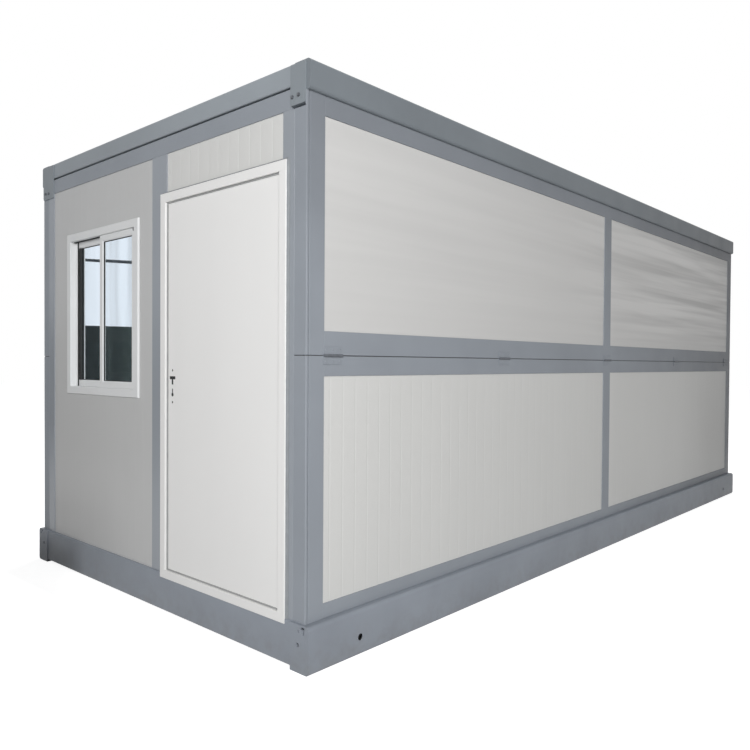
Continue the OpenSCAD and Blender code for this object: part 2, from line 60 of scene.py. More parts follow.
# Lengths below TOUCH count as nothing. The digits are what points are rounded to where they
# meet in a skin, where a CAD node's triangles are joined, where solids are put in order, and
# where the lines across a sheet's ribs are drawn.
TOUCH = 1e-5
MEET_DIGITS, JOIN_DIGITS, ORDER_DIGITS, RIB_DIGITS = 7, 5, 4, 6

# Edges across a rounded corner, the most of half a side that a radius may take, the least
# angle in degrees of an edge that is bevelled, and how strongly large faces set the light.
CORNER_STEPS = 3
FULLEST_RADIUS = 0.98
BEVEL_ANGLE = 50
FLAT_WEIGHT = 90

# From +Z to +Y, and back.
LAID = Matrix(((1, 0, 0), (0, 0, 1), (0, -1, 0)))
STOOD = LAID.transposed()

log = logging.getLogger("container_house")


class Axis(Enum):
    """The direction that a length runs in."""

    X = 0
    Y = 1
    Z = 2

    @property
    def others(self) -> list[int]:
        """The numbers of the two other axes, in the order of a right-hand turn about it."""
        return [(self.value + 1) % 3, (self.value + 2) % 3]


class Body(Enum):
    """The body that a piece rides on."""

    HOUSE = "house"
    DOOR = "door"


class Slot(Enum):
    """The record's material slots."""

    FRAME = "frame_steel"
    HINGE = "hinge_steel"
    PANEL = "wall_panel"
    DOOR = "door_steel"
    VINYL = "window_vinyl"
    GLASS = "window_glass"
    FLOOR = "floor_board"
    ROOF = "roof_steel"


# ---- Surfaces ----


@dataclass
class Skin:
    """The points and faces of one piece, gathered as whole arrays."""

    points: list[Array] = field(default_factory=list)
    faces: list[NDArray[np.int64]] = field(default_factory=list)
    count: int = 0

    def add(self, points: Array, *faces: NDArray[np.int64]) -> "Skin":
        """Adds a surface to the skin.

        Args:
            points: its points, in any grid shape that ends in three values.
            faces: arrays of point numbers, one row for each face.

        Returns:
            The skin itself.
        """
        flat = np.asarray(points, dtype=float).reshape(-1, 3)
        self.faces.extend(np.asarray(f, dtype=np.int64) + self.count for f in faces)
        self.points.append(flat)
        self.count += len(flat)
        return self

    def add_closed(self, points: Array, *faces: NDArray[np.int64]) -> "Skin":
        """Adds a surface whose points meet in places.

        Points that meet become one. Faces lose the corners that have met, and those with fewer
        than three corners left are dropped.

        Args:
            points: its points, as for add.
            faces: its faces, as for add.

        Returns:
            The skin itself.
        """
        flat = np.round(np.asarray(points, dtype=float).reshape(-1, 3), MEET_DIGITS)
        once, same = np.unique(flat, axis=0, return_inverse=True)
        kept = []
        for rows in faces:
            rows = same.ravel()[rows]
            live = rows != np.roll(rows, -1, axis=1)
            corners = live.sum(axis=1)
            for n in np.unique(corners[corners > 2]):
                alike = corners == n
                kept.append(rows[alike][live[alike]].reshape(-1, n))
        return self.add(once, *kept)

    def join(self, other: "Skin") -> "Skin":
        """Adds all of another skin to this one."""
        return self.add(np.concatenate(other.points), *other.faces)

    @staticmethod
    def of(parts: Iterable["Skin"]) -> "Skin":
        """All of some skins as one."""
        skin = Skin()
        for part in parts:
            skin.join(part)
        return skin

    def moved(self, turn: Matrix, shift: ArrayLike = (0, 0, 0)) -> "Skin":
        """A copy turned by a 3x3 matrix and then shifted."""
        points = np.concatenate(self.points) @ np.array(turn, dtype=float).T
        return Skin([points + np.array(shift)], list(self.faces), len(points))

    def piece(self, name: str, crease: float = 32.0, eased: float = 0.0,
              flats: bool = True) -> bpy.types.Object:
        """Makes the Blender object.

        Args:
            name: the piece's plain name.
            crease: edges sharper than this many degrees stay crisp.
            eased: width of the bevel on the sharp edges, or 0 for none.
            flats: whether its large faces are flat, so that they set the light at their edges.

        Returns:
            The object, at the origin, with its place in its mesh.
        """
        points = np.concatenate(self.points)
        corners = np.concatenate([f.ravel() for f in self.faces])
        sizes = np.concatenate([np.full(len(f), f.shape[1]) for f in self.faces])
        starts = np.concatenate([[0], np.cumsum(sizes)[:-1]])
        mesh = bpy.data.meshes.new(name)
        mesh.vertices.add(len(points))
        mesh.vertices.foreach_set("co", points.ravel())
        mesh.loops.add(len(corners))
        mesh.loops.foreach_set("vertex_index", corners)
        mesh.polygons.add(len(sizes))
        mesh.polygons.foreach_set("loop_start", starts)
        mesh.update(calc_edges=True)
        mesh.polygons.foreach_set("use_smooth", np.ones(len(sizes), dtype=bool))
        mesh.set_sharp_from_angle(angle=math.radians(crease))
        obj = bpy.data.objects.new(name, mesh)
        bpy.context.scene.collection.objects.link(obj)
        if eased > 0:
            ease = obj.modifiers.new("eased edges", "BEVEL")
            ease.width, ease.segments = eased, 2
            ease.limit_method, ease.angle_limit = "ANGLE", math.radians(BEVEL_ANGLE)
        if flats:
            even = obj.modifiers.new("even light on flats", "WEIGHTED_NORMAL")
            even.keep_sharp, even.weight = True, FLAT_WEIGHT
        return obj


def grid_faces(rows: int, columns: int, around: bool = False) -> NDArray[np.int64]:
    """Numbers the faces of a grid of points.

    Args:
        rows: points along the first parameter.
        columns: points along the second parameter.
        around: whether the last column joins the first.

    Returns:
        One row of four point numbers for each face.
    """
    i, j = np.meshgrid(np.arange(rows - 1), np.arange(columns if around else columns - 1),
                       indexing="ij")
    k = (j + 1) % columns
    quad = [i * columns + j, i * columns + k, (i + 1) * columns + k, (i + 1) * columns + j]
    return np.stack(quad, axis=-1).reshape(-1, 4)


def tube_faces(rows: int, columns: int) -> tuple[NDArray[np.int64], ...]:
    """Numbers the faces of a grid that runs round, with both its ends filled."""
    ring = np.arange(columns)[None, :]
    return grid_faces(rows, columns, True), ring[:, ::-1], ring + (rows - 1) * columns


def quarters(steps: int) -> tuple[Array, Array, Array]:
    """A full turn in four quarters, each with both its ends.

    Args:
        steps: edges across a quarter.

    Returns:
        The angles, and the side of each one's quarter in X and in Y, as 1 or -1.
    """
    quarter = np.linspace(0.0, math.pi / 2, steps + 1)
    turn = (quarter[None, :] + np.arange(4)[:, None] * math.pi / 2).ravel()
    return turn, np.repeat([1, -1, -1, 1], steps + 1), np.repeat([1, 1, -1, -1], steps + 1)


def soft_block(lo: ArrayLike, hi: ArrayLike, radius: ArrayLike, steps: int = 3) -> Skin:
    """A block with rounded edges.

    A point of the unit sphere, given by its turn and its height angle, is multiplied by the
    radius and pushed out to the nearest corner of the block less that radius. Each quarter turn
    keeps its own corner, so the flat faces open up between the quarters.

    Args:
        lo: lowest corner.
        hi: highest corner.
        radius: edge radius, one for all axes or one for each.
        steps: faces across a rounded edge.

    Returns:
        The closed skin.
    """
    lo, hi = np.asarray(lo, float), np.asarray(hi, float)
    radius = np.minimum(np.broadcast_to(radius, 3), (hi - lo) / 2 * FULLEST_RADIUS)
    turn, side_x, side_y = quarters(steps)
    quarter = turn[:steps + 1]
    t, h = np.meshgrid(turn, np.concatenate([quarter - math.pi / 2, quarter]))
    ball = np.stack([np.cos(h) * np.cos(t), np.cos(h) * np.sin(t), np.sin(h)], axis=-1)
    side_z = np.repeat([-1, 1], steps + 1)[:, None]
    corner = np.stack(np.broadcast_arrays(side_x, side_y, side_z), axis=-1)
    points = (lo + hi) / 2 + corner * ((hi - lo) / 2 - radius) + ball * radius
    return Skin().add_closed(points, *tube_faces(*t.shape))


def soft_blocks(blocks: list[tuple[Point, Point]], radius: ArrayLike, steps: int) -> Skin:
    """Several blocks with rounded edges as one skin."""
    return Skin.of(soft_block(lo, hi, radius, steps) for lo, hi in blocks)


def carried(profiles: Array, stations: ArrayLike, axis: Axis) -> Skin:
    """A closed outline carried along one axis, with both ends filled.

    Where two stations have the same place, the outline changes there from one shape to the
    next, and the faces between them make a flat step.

    Args:
        profiles: the outline's points in the two other axes, in the order of a right-hand turn
            about the axis: one outline for all stations, or one for each.
        stations: places on the axis, from the lowest to the highest.
        axis: the direction it is carried in.

    Returns:
        The closed skin.
    """
    points = np.zeros((len(stations), profiles.shape[-2], 3))
    points[..., axis.value] = np.asarray(stations, dtype=float)[:, None]
    points[..., axis.others] = profiles
    return Skin().add_closed(points, *tube_faces(*points.shape[:2]))


def notched(plain: Array, stepped: Array, span: Span, notch: Span, axis: Axis) -> Skin:
    """A plain outline carried along one axis, with a stepped one for part of the way.

    Args:
        plain: the whole outline.
        stepped: the outline with a step, which has as many points.
        span: where the piece begins and ends on the axis.
        notch: where the step begins and ends.
        axis: the direction it is carried in.

    Returns:
        The closed skin.
    """
    low, high = max(notch[0], span[0]), min(notch[1], span[1])
    outlines, stations = [stepped, stepped], [low, high]
    if low - span[0] > TOUCH:
        outlines, stations = [plain, plain, *outlines], [span[0], low, *stations]
    if span[1] - high > TOUCH:
        outlines, stations = [*outlines, plain, plain], [*stations, high, span[1]]
    return carried(np.stack(outlines), stations, axis)


def turned(outline: Array, sides: int = 24, flats: int = 0) -> Skin:
    """A profile turned about the Z axis.

    The first parameter runs along the profile and the second goes round. With flats, the radius
    at each angle is shortened to that of a regular polygon wherever the profile lies outside it.

    Args:
        outline: rows of radius and height, from the bottom of the axis to the top.
        sides: points round the axis.
        flats: sides of the polygon, or 0 for a round piece.

    Returns:
        The closed skin.
    """
    angle = np.arange(sides) * 2 * math.pi / sides
    radius = np.repeat(outline[:, :1], sides, axis=1)
    if flats:
        part = np.mod(angle, 2 * math.pi / flats) - math.pi / flats
        widest = outline[:, 0].max() * math.cos(math.pi / flats)
        radius = np.minimum(radius, widest / np.cos(part)[None, :])
    points = np.stack([radius * np.cos(angle), radius * np.sin(angle),
                       np.repeat(outline[:, 1:], sides, axis=1)], axis=-1)
    return Skin().add(points, *tube_faces(len(outline), sides))


def slab(front: Array, back: Array) -> Skin:
    """Closes two grids of the same size into a sheet with thickness.

    Args:
        front: points of the face that looks out, rows upwards and columns to the right.
        back: points of the face behind it, in the same order.

    Returns:
        The closed skin.
    """
    rows, columns = front.shape[:2]
    number = np.arange(rows * columns).reshape(rows, columns)
    faces = grid_faces(rows, columns)
    behind = faces[:, ::-1] + rows * columns
    edge = np.concatenate([number[0, :], number[1:, -1], number[-1, -2::-1], number[-2:0:-1, 0]])
    after = np.roll(edge, -1)
    rim = np.stack([after, edge, edge + rows * columns, after + rows * columns], axis=-1)
    return Skin().add(np.concatenate([front.reshape(-1, 3), back.reshape(-1, 3)]),
                      faces, behind, rim)


def right_hand(outline: Array) -> Array:
    """The outline in the order in which it runs anticlockwise."""
    x, y = outline.T
    area = np.sum(x * np.roll(y, -1) - y * np.roll(x, -1))
    return outline if area > 0 else outline[::-1]


def level(outline: Array, z: float) -> Array:
    """A flat outline's points at one height."""
    return np.column_stack([outline, np.full(len(outline), z)])


def pierced(outline: Array, holes: list[Array], depth: float, bevel: float) -> Skin:
    """A plate with holes, in the XY plane, from Z = -depth up to Z = 0.

    The upper face is the outline drawn in by the bevel, and the rim falls by the bevel before it
    goes straight down.

    Args:
        outline: the plate's outline, anticlockwise.
        holes: outlines of the holes, in any direction.
        depth: thickness of the plate.
        bevel: width of the slope round the upper edge.

    Returns:
        The closed skin.
    """
    before, after = outline - np.roll(outline, 1, axis=0), np.roll(outline, -1, axis=0) - outline
    way = sum(step / np.linalg.norm(step, axis=1)[:, None] for step in (before, after))
    inward = np.stack([-way[:, 1], way[:, 0]], axis=1)
    length = np.linalg.norm(inward, axis=1)[:, None]
    inner = outline + inward / length * bevel * 2 / length
    rings = [inner, *holes]
    flat = np.concatenate(rings)
    loops = [[Vector((*p, 0.0)) for p in ring] for ring in rings]
    cap = np.array(tessellate_polygon(loops), dtype=np.int64)
    (ax, ay), (bx, by) = ((flat[cap[:, i]] - flat[cap[:, 0]]).T for i in (1, 2))
    turn = ax * by - ay * bx
    cap[turn < 0] = cap[turn < 0][:, ::-1]
    faces = [level(flat, 0.0), level(np.concatenate([outline, *holes]), -depth)]
    skin = Skin().add(np.concatenate(faces), cap, cap[:, ::-1] + len(flat))
    rim = np.stack([level(inner, 0.0), level(outline, -bevel), level(outline, -depth)])
    skin.add(rim, grid_faces(3, len(outline), around=True)[:, ::-1])
    for ring in map(right_hand, holes):
        skin.add(np.stack([level(ring, 0.0), level(ring, -depth)]),
                 grid_faces(2, len(ring), around=True))
    return skin


def circle(x: float, y: float, radius: float, points: int = 16) -> Array:
    """The outline of a circle, anticlockwise."""
    a = np.arange(points) * 2 * math.pi / points
    return np.stack([x + radius * np.cos(a), y + radius * np.sin(a)], axis=1)


def soft_rectangle(x: Span, y: Span, radius: Radii) -> Array:
    """The outline of a rectangle with rounded corners, anticlockwise.

    Args:
        x: left and right.
        y: bottom and top.
        radius: one corner radius, or four: right top, left top, left bottom, right bottom.

    Returns:
        The outline's points.
    """
    a, side_x, side_y = quarters(CORNER_STEPS)
    r = np.repeat(np.broadcast_to(radius, 4), CORNER_STEPS + 1)
    middle_x = np.where(side_x > 0, x[1], x[0]) - r * side_x
    middle_y = np.where(side_y > 0, y[1], y[0]) - r * side_y
    return np.stack([middle_x + r * np.cos(a), middle_y + r * np.sin(a)], axis=1)


def stepped_rectangle(x: Span, y: Span, radius: Radii, corner: int,
                      cut: ArrayLike) -> tuple[Array, Array]:
    """A rounded rectangle, and the same with a square step in place of one corner.

    Both run anticlockwise and have as many points. The whole one has the two ends of the step
    as points on its sides, and the stepped one has some of its points twice.

    Args:
        x: left and right.
        y: bottom and top.
        radius: radius of the corners.
        corner: 0 for right top, 1 for left top, 2 for left bottom and 3 for right bottom.
        cut: width and height of the step.

    Returns:
        The whole outline and the stepped one.
    """
    whole, points = soft_rectangle(x, y, radius), CORNER_STEPS + 1
    side_x, side_y = [(1, 1), (-1, 1), (-1, -1), (1, -1)][corner]
    end_x, end_y = x[(side_x + 1) // 2], y[(side_y + 1) // 2]
    in_x, in_y = end_x - side_x * cut[0], end_y - side_y * cut[1]
    step = np.array([(end_x, in_y), (in_x, in_y), (in_x, end_y)])
    if corner % 2:
        step = step[::-1]
    first, last = corner * points, (corner + 1) * points
    before, arc, after = whole[:first], whole[first:last], whole[last:]
    inner = np.repeat(step, [2, points - 2, 2], axis=0)
    return (np.concatenate([before, step[:1], arc, step[2:], after]),
            np.concatenate([before, inner, after]))


def mitred(profile: Array, x: Span, z: Span) -> Skin:
    """A profile carried round a rectangle in an upright plane, with mitred corners.

    Each point of the profile has a distance outwards from the rectangle and a depth. Its path is
    the rectangle grown by that distance, so the corners meet on the diagonals.

    Args:
        profile: rows of distance outwards and depth along Y, in a closed outline that runs
            anticlockwise when distance points right and Y points up.
        x: left and right of the rectangle.
        z: bottom and top of the rectangle.

    Returns:
        The closed skin.
    """
    out, depth = profile.T
    corner_x, way_x = np.array([x[0], x[1], x[1], x[0]]), np.array([-1, 1, 1, -1])
    corner_z, way_z = np.array([z[0], z[0], z[1], z[1]]), np.array([-1, -1, 1, 1])
    points = np.stack([corner_x[:, None] + way_x[:, None] * out,
                       np.broadcast_to(depth, (4, len(depth))),
                       corner_z[:, None] + way_z[:, None] * out], axis=-1)
    count = len(profile)
    return Skin().add(points, grid_faces(5, count, around=True) % (4 * count))


def both_ways(half: Array, low: float, high: float) -> Array:
    """A closed profile from its half, which is set down at low and, turned over, at high."""
    return np.concatenate([half + np.array([0, low]), half[::-1] * (1, -1) + np.array([0, high])])


def joined(node: str) -> tuple[Array, NDArray[np.int64]]:
    """A CAD node's points, each only once, and its triangles."""
    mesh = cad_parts[node].data
    points = np.empty(len(mesh.vertices) * 3)
    mesh.vertices.foreach_get("co", points)
    mesh.calc_loop_triangles()
    faces = np.empty(len(mesh.loop_triangles) * 3, dtype=np.int64)
    mesh.loop_triangles.foreach_get("vertices", faces)
    points = np.round(points.reshape(-1, 3), JOIN_DIGITS)
    place, same = np.unique(points, axis=0, return_inverse=True)
    faces = same.ravel()[faces].reshape(-1, 3)
    a, b, c = faces.T
    return place, faces[(a != b) & (b != c) & (c != a)]


def merged(*nodes: str) -> Skin:
    """Copies of some CAD nodes with their loose triangles joined."""
    return Skin.of(Skin().add(*joined(node)) for node in nodes)


def solids(node: str) -> list[Box]:
    """The box of each separate solid in a CAD node.

    Every triangle hands the lowest number among its points to all of them until nothing
    changes.

    Args:
        node: the node's name.

    Returns:
        The lowest and highest corner of each solid, ordered by X, then Y, then Z.
    """
    place, faces = joined(node)
    label = np.arange(len(place))
    while True:
        lowest = label.copy()
        for corner in range(3):
            np.minimum.at(lowest, faces[:, corner], label[faces].min(axis=1))
        if np.array_equal(lowest, label):
            break
        label = lowest
    boxes = [(place[label == i].min(axis=0), place[label == i].max(axis=0))
             for i in np.unique(label)]
    return sorted(boxes, key=lambda b: tuple(np.round(b[0], ORDER_DIGITS)))


def box(node: str) -> Box:
    """The lowest and highest corner of a CAD node as arrays."""
    lo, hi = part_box(node)
    return np.array(lo, dtype=float), np.array(hi, dtype=float)


# ---- Finishes ----

Socket = bpy.types.NodeSocket
Value = Socket | float | tuple[float, ...]


@dataclass(frozen=True)
class Nodes:
    """A shader tree, with short ways to add to it."""

    tree: bpy.types.NodeTree

    def fill(self, socket: Socket, value: Value) -> None:
        """Links a socket to an input, or writes a plain value into it."""
        if isinstance(value, Socket):
            self.tree.links.new(value, socket)
        else:
            socket.default_value = (*value, 1.0) if socket.type == "RGBA" else value

    def add(self, kind: str, **inputs: Value) -> bpy.types.Node:
        """Adds a node.

        Args:
            kind: its type, without the first word.
            inputs: what goes into its inputs, by their names with _ for a space.

        Returns:
            The node.
        """
        node = self.tree.nodes.new("ShaderNode" + kind)
        for name, value in inputs.items():
            self.fill(node.inputs[name.replace("_", " ")], value)
        return node

    def math(self, operation: str, *values: Socket | float) -> Socket:
        """The result of a sum or another operation on one to three values."""
        node = self.add("Math")
        node.operation = operation
        for socket, value in zip(node.inputs, values):
            self.fill(socket, value)
        return node.outputs["Value"]

    def part(self, axis: str) -> Socket:
        """One of the three object coordinates."""
        where = self.add("TexCoord").outputs["Object"]
        return self.add("SeparateXYZ", Vector=where).outputs[axis]

    def noise(self, size: float, detail: float = 3.0, stretch: Point = (1.0, 1.0, 1.0),
              tilt: float = 0.0, distortion: float = 0.0) -> Socket:
        """A noise pattern in object coordinates.

        Args:
            size: length of one wave of the pattern.
            detail: how many finer layers it has.
            stretch: scale along each axis, below 1 to draw it out.
            tilt: turn about X.
            distortion: how far it is bent.

        Returns:
            The pattern's value.
        """
        where = self.add("TexCoord").outputs["Object"]
        turn = self.add("Mapping", Vector=where, Rotation=(tilt, 0, 0), Scale=stretch)
        return self.add("TexNoise", Vector=turn.outputs["Vector"], Scale=1.0 / size,
                        Detail=detail, Distortion=distortion).outputs["Fac"]

    def spread(self, value: Socket, source: Span, target: Span = (0, 1)) -> Socket:
        """Carries a value from one span to another, with its ends held."""
        return self.add("MapRange", Value=value, From_Min=source[0], From_Max=source[1],
                        To_Min=target[0], To_Max=target[1]).outputs["Result"]

    def blend(self, amount: Socket, first: Socket | Colour, second: Socket | Colour) -> Socket:
        """Mixes two colours by an amount from 0 to 1."""
        mix = self.add("Mix")
        mix.data_type = "RGBA"
        for i, value in ((0, amount), (6, first), (7, second)):
            self.fill(mix.inputs[i], value)
        return mix.outputs[2]

    def bump(self, height: Socket, strength: float, distance: float) -> Socket:
        """The shading normal of a grain."""
        return self.add("Bump", Height=height, Strength=strength,
                        Distance=distance).outputs["Normal"]


@dataclass(frozen=True)
class Finish:
    """A painted, coated or moulded surface, worked out from object coordinates."""

    name: str
    colour: Colour
    roughness: float
    metallic: float = 0.0
    mottle: float = 0.04
    mottle_size: float = 0.4
    stretch: Point = (1.0, 1.0, 1.0)
    grain: float = 0.05
    grain_size: float = 0.004
    grime: float = 0.0
    grime_height: float = 0.3
    grime_speck: float = 0.05
    grime_colour: Colour = (0.20, 0.185, 0.16)
    clouds: Span = (0.3, 0.7)
    specks: Span = (0.42, 0.7)
    thinnest: float = 0.2
    gloss_range: Span = (0.9, 1.12)
    shine: float = 0.14

    def material(self) -> bpy.types.Material:
        """Builds the material once, and hands the same one out afterwards."""
        known = bpy.data.materials.get(self.name)
        if known is not None:
            return known
        made = bpy.data.materials.new(self.name)
        made.use_nodes = True
        made.diffuse_color = (*self.colour, 1.0)
        shader = made.node_tree.nodes["Principled BSDF"]
        shader.inputs["Metallic"].default_value = self.metallic
        shader.inputs["Specular IOR Level"].default_value = self.shine
        nodes = Nodes(made.node_tree)
        for name, value in self.dress(nodes).items():
            nodes.fill(shader.inputs[name], value)
        return made

    def shades(self, depth: float) -> tuple[Colour, Colour]:
        """A darker and a lighter shade of the colour."""
        return (tuple(c * (1 - depth) for c in self.colour),
                tuple(min(c * (1 + depth), 1.0) for c in self.colour))

    def paint(self, nodes: Nodes) -> Socket:
        """Its colour: slow clouds, and dirt near the ground."""
        cloud = nodes.noise(self.mottle_size, stretch=self.stretch)
        colour = nodes.blend(nodes.spread(cloud, self.clouds), *self.shades(self.mottle))
        if self.grime > 0:
            low = nodes.spread(nodes.part("Z"), (0.0, self.grime_height), (1, 0))
            speck = nodes.spread(nodes.noise(self.grime_speck, 5.0), self.specks,
                                 (self.thinnest, 1))
            dirt = nodes.spread(nodes.math("MULTIPLY", low, speck), (0, 1), (0, self.grime))
            colour = nodes.blend(dirt, colour, self.grime_colour)
        return colour

    def dress(self, nodes: Nodes) -> dict[str, Value]:
        """Its varied colour, its gloss and its grain.

        Args:
            nodes: the material's nodes.

        Returns:
            What goes into the shader's inputs, by their names.
        """
        cloud = nodes.noise(self.mottle_size / 3, stretch=self.stretch)
        low, high = self.gloss_range
        grain = nodes.noise(self.grain_size, 2.0)
        return {"Base Color": self.paint(nodes),
                "Roughness": nodes.spread(cloud, self.clouds,
                                          (self.roughness * low, self.roughness * high)),
                "Normal": nodes.bump(grain, self.grain, self.grain_size / 4)}


@dataclass(frozen=True)
class ReflectionStreaked(Finish):
    """A coating with painted reflection streaks: long, wavy and stronger towards the rear."""

    length: float = 0.032
    tilt: float = 0.06
    size: float = 0.07
    depth: float = 0.20
    edges: Span = (0.36, 0.64)
    span: Span = (-0.6, 1.4)
    in_front: float = 0.12
    rise: Span = (1.36, 1.75)
    below: float = 0.3

    def paint(self, nodes: Nodes) -> Socket:
        """Its colour: the painted reflection streaks, weaker in front and below."""
        wave = nodes.noise(self.size, 2.5, (1, self.length, 1), self.tilt, 0.25)
        streak = nodes.spread(wave, self.edges, (-0.5, 0.5))
        share = nodes.math("MULTIPLY",
                           nodes.spread(nodes.part("Y"), self.span, (self.in_front, 1)),
                           nodes.spread(nodes.part("Z"), self.rise, (self.below, 1)))
        return nodes.blend(nodes.math("MULTIPLY_ADD", streak, share, 0.5),
                           *self.shades(self.depth))


@dataclass(frozen=True)
class ShadePainted(Finish):
    """A paint with painted shade on the long walls' outer faces, under the roof and rearwards."""

    face: Span = (1.2375, 1.2385)
    top: Span = (1.6, 2.28)
    top_shade: float = 0.24
    rear: Span = (0.0, 2.6)
    rear_shade: float = 0.44
    # the colour of the painted shade
    shade_colour: Colour = (0.05, 0.05, 0.055)

    def paint(self, nodes: Nodes) -> Socket:
        """Its colour, with the painted shade laid over the plain paint."""
        outer = nodes.spread(nodes.math("ABSOLUTE", nodes.part("X")), self.face)
        # painted shade: darker high up under the roof beam, and darker towards the rear end
        painted_shade = nodes.math("ADD", nodes.spread(nodes.part("Z"), self.top, (0, self.top_shade)),
                          nodes.spread(nodes.part("Y"), self.rear, (0, self.rear_shade)))
        return nodes.blend(nodes.math("MULTIPLY", painted_shade, outer), super().paint(nodes), self.shade_colour)


@dataclass(frozen=True)
class Glass(Finish):
    """Reflecting window glass: partly a mirror, partly clear."""

    ior: float = 1.5
    roll: float = 0.002

    def dress(self, nodes: Nodes) -> dict[str, Value]:
        """Its tint, its mirror share and a faint roll of the float bath.

        Args:
            nodes: the material's nodes.

        Returns:
            What goes into the shader's inputs, by their names.
        """
        roll = nodes.noise(self.grain_size, 0.0, self.stretch)
        return {"Base Color": self.colour, "Roughness": self.roughness,
                "Transmission Weight": 1.0, "IOR": self.ior,
                "Normal": nodes.bump(roll, self.grain, self.roll)}


STEEL_PAINT = Finish("blue-grey frame paint", (0.312, 0.338, 0.375), 0.42, mottle=0.05,
                     mottle_size=0.5, grain=0.16, grain_size=0.006, grime=0.10)
# Painted shade on the long walls' outer faces, under the roof and towards the rear.
WALL_PAINT = ShadePainted("blue-grey wall frame paint", (0.312, 0.338, 0.375), 0.42, mottle=0.05,
                    mottle_size=0.5, grain=0.16, grain_size=0.006, grime=0.10)
FRONT_PAINT = Finish("blue-grey front post paint", (0.298, 0.324, 0.360), 0.32, mottle=0.03,
                     mottle_size=0.5, grain=0.015, grain_size=0.008, grime=0.10, shine=0.5)
BASE_PAINT = Finish("blue-grey base paint", (0.302, 0.330, 0.374), 0.42, mottle=0.07,
                    mottle_size=0.35, grain=0.18, grain_size=0.006, grime=0.35,
                    grime_height=0.16)
ROOF_PAINT = Finish("blue-grey roof frame paint", (0.262, 0.290, 0.315), 0.40, mottle=0.06,
                    mottle_size=0.6, grain=0.15, grain_size=0.006)
# Painted highlight: a lighter copy of the roof frame paint, with broad clouds as painted sheen on
# the roof end beams.
HIGHLIT_ROOF_END_PAINT = Finish("blue-grey roof end paint with painted highlight", (0.318, 0.350, 0.380), 0.38, mottle=0.09,
                        mottle_size=0.8, grain=0.12, grain_size=0.006)
# Painted shade: darker towards the rear end of the roof's side channels.
ROOF_SIDE_PAINT = ShadePainted("blue-grey roof side paint", (0.212, 0.236, 0.258), 0.40, mottle=0.06,
                         mottle_size=0.6, grain=0.15, grain_size=0.006, top_shade=0.0,
                         rear=(0.2, 2.8), rear_shade=0.40)
# Painted shade: a dark copy of the hinge paint on the barrels, standing in for the shadow along the
# fold line.
SHADED_BARREL_PAINT = Finish("hinge barrel paint with painted shade", (0.15, 0.162, 0.18), 0.45, mottle=0.1,
                      mottle_size=0.03)
FOLD_SEAL = Finish("dark grey fold seal", (0.11, 0.115, 0.12), 0.6, mottle=0.1,
                   mottle_size=0.03, grain=0.1, grain_size=0.003)
# Painted shade towards the rear, as on the long walls' frames.
HINGE_PAINT = ShadePainted("hinge paint", (0.305, 0.331, 0.368), 0.42, mottle_size=0.05)
DARK_STEEL = Finish("darkened bolt steel", (0.155, 0.165, 0.18), 0.38, metallic=0.4,
                    mottle=0.25, mottle_size=0.01, grain=0.2, grain_size=0.002)
PANEL_COAT = Finish("white panel coating", (0.715, 0.715, 0.70), 0.36, mottle=0.012,
                    mottle_size=0.5, stretch=(1, 1, 0.15), grain_size=0.010)
# Painted shade: a darker copy of the white panel coating, on the panels round the window.
SHADED_WINDOW_WALL = Finish("white panel coating with painted shade", (0.595, 0.597, 0.595), 0.34, mottle=0.012,
                     mottle_size=0.5, stretch=(1, 1, 0.15), grain_size=0.010)
# Painted reflection: lighter and darker lengthwise streaks on the upper panels of the long walls.
PANEL_GLOSS = ReflectionStreaked("white panel coating with painted reflection streaks", (0.685, 0.68, 0.67), 0.38,
                       stretch=(1, 0.1, 1), grain_size=0.010)
DOOR_COAT = Finish("white door coating", (0.91, 0.905, 0.895), 0.36, mottle=0.012,
                   mottle_size=0.5, stretch=(1, 1, 0.2), grain=0.06, grain_size=0.005)
VINYL = Finish("window vinyl", (0.81, 0.82, 0.825), 0.45, mottle=0.015, mottle_size=0.2,
               grain=0.03, shine=0.15)
# Grey for the door's lip seals, partly painted shade for the reveal and the gap round the leaf.
GREY_SEAL_AND_SHADE = Finish("grey door seal and painted shade", (0.38, 0.385, 0.385), 0.6, mottle=0.08, mottle_size=0.05,
                   grain=0.2, grain_size=0.002)
# Grey for the sealant bead, partly painted shade for the door frame's outer sides.
SEALANT_AND_SHADE = Finish("grey sealant and painted shade", (0.27, 0.285, 0.30), 0.5, mottle=0.06, mottle_size=0.03,
                 grain=0.25, grain_size=0.006)
# Black rubber for the seals; also painted shade in the lock's holes and in the window's dark
# strips.
RUBBER_AND_SHADE = Finish("black rubber and painted shade", (0.028, 0.029, 0.030), 0.6, mottle=0.2, mottle_size=0.02,
                grain=0.2, grain_size=0.002)
BOARD = Finish("grey floor board", (0.36, 0.335, 0.30), 0.62, mottle=0.12, mottle_size=0.25,
               stretch=(1, 0.3, 1), grain=0.3)
ROOF_COAT = Finish("grey-white roof coating", (0.64, 0.65, 0.65), 0.40, mottle=0.05,
                   mottle_size=0.7, grain=0.06, grain_size=0.008)
GLASS = Glass("reflecting window glass", (0.79, 0.85, 0.89), 0.02, metallic=0.84,
              grain_size=0.25, stretch=(1, 1, 0.2))


def place(obj: bpy.types.Object, finish: Finish, slot: Slot, body: Body = Body.HOUSE,
          nodes: tuple[str, ...] = ()) -> None:
    """Finishes a piece and lets it ride on its body.

    Args:
        obj: the piece.
        finish: its surface.
        slot: the record's slot for the piece; not used.
        body: the body it moves with.
        nodes: CAD nodes that it stands for.
    """
    obj.data.materials.clear()
    obj.data.materials.append(finish.material())
    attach(obj, body.value)
    if nodes:
        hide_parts(*nodes)
    log.info("%s: %d faces", obj.name, len(obj.data.polygons))


def coat(node: str, finish: Finish) -> None:
    """Gives a CAD node that stays in view its finish."""
    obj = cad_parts[node]
    for material_slot in obj.material_slots:
        material_slot.material = finish.material()
    log.info("%s: coated with %s", node, finish.name)


# ---- Sub-assemblies ----


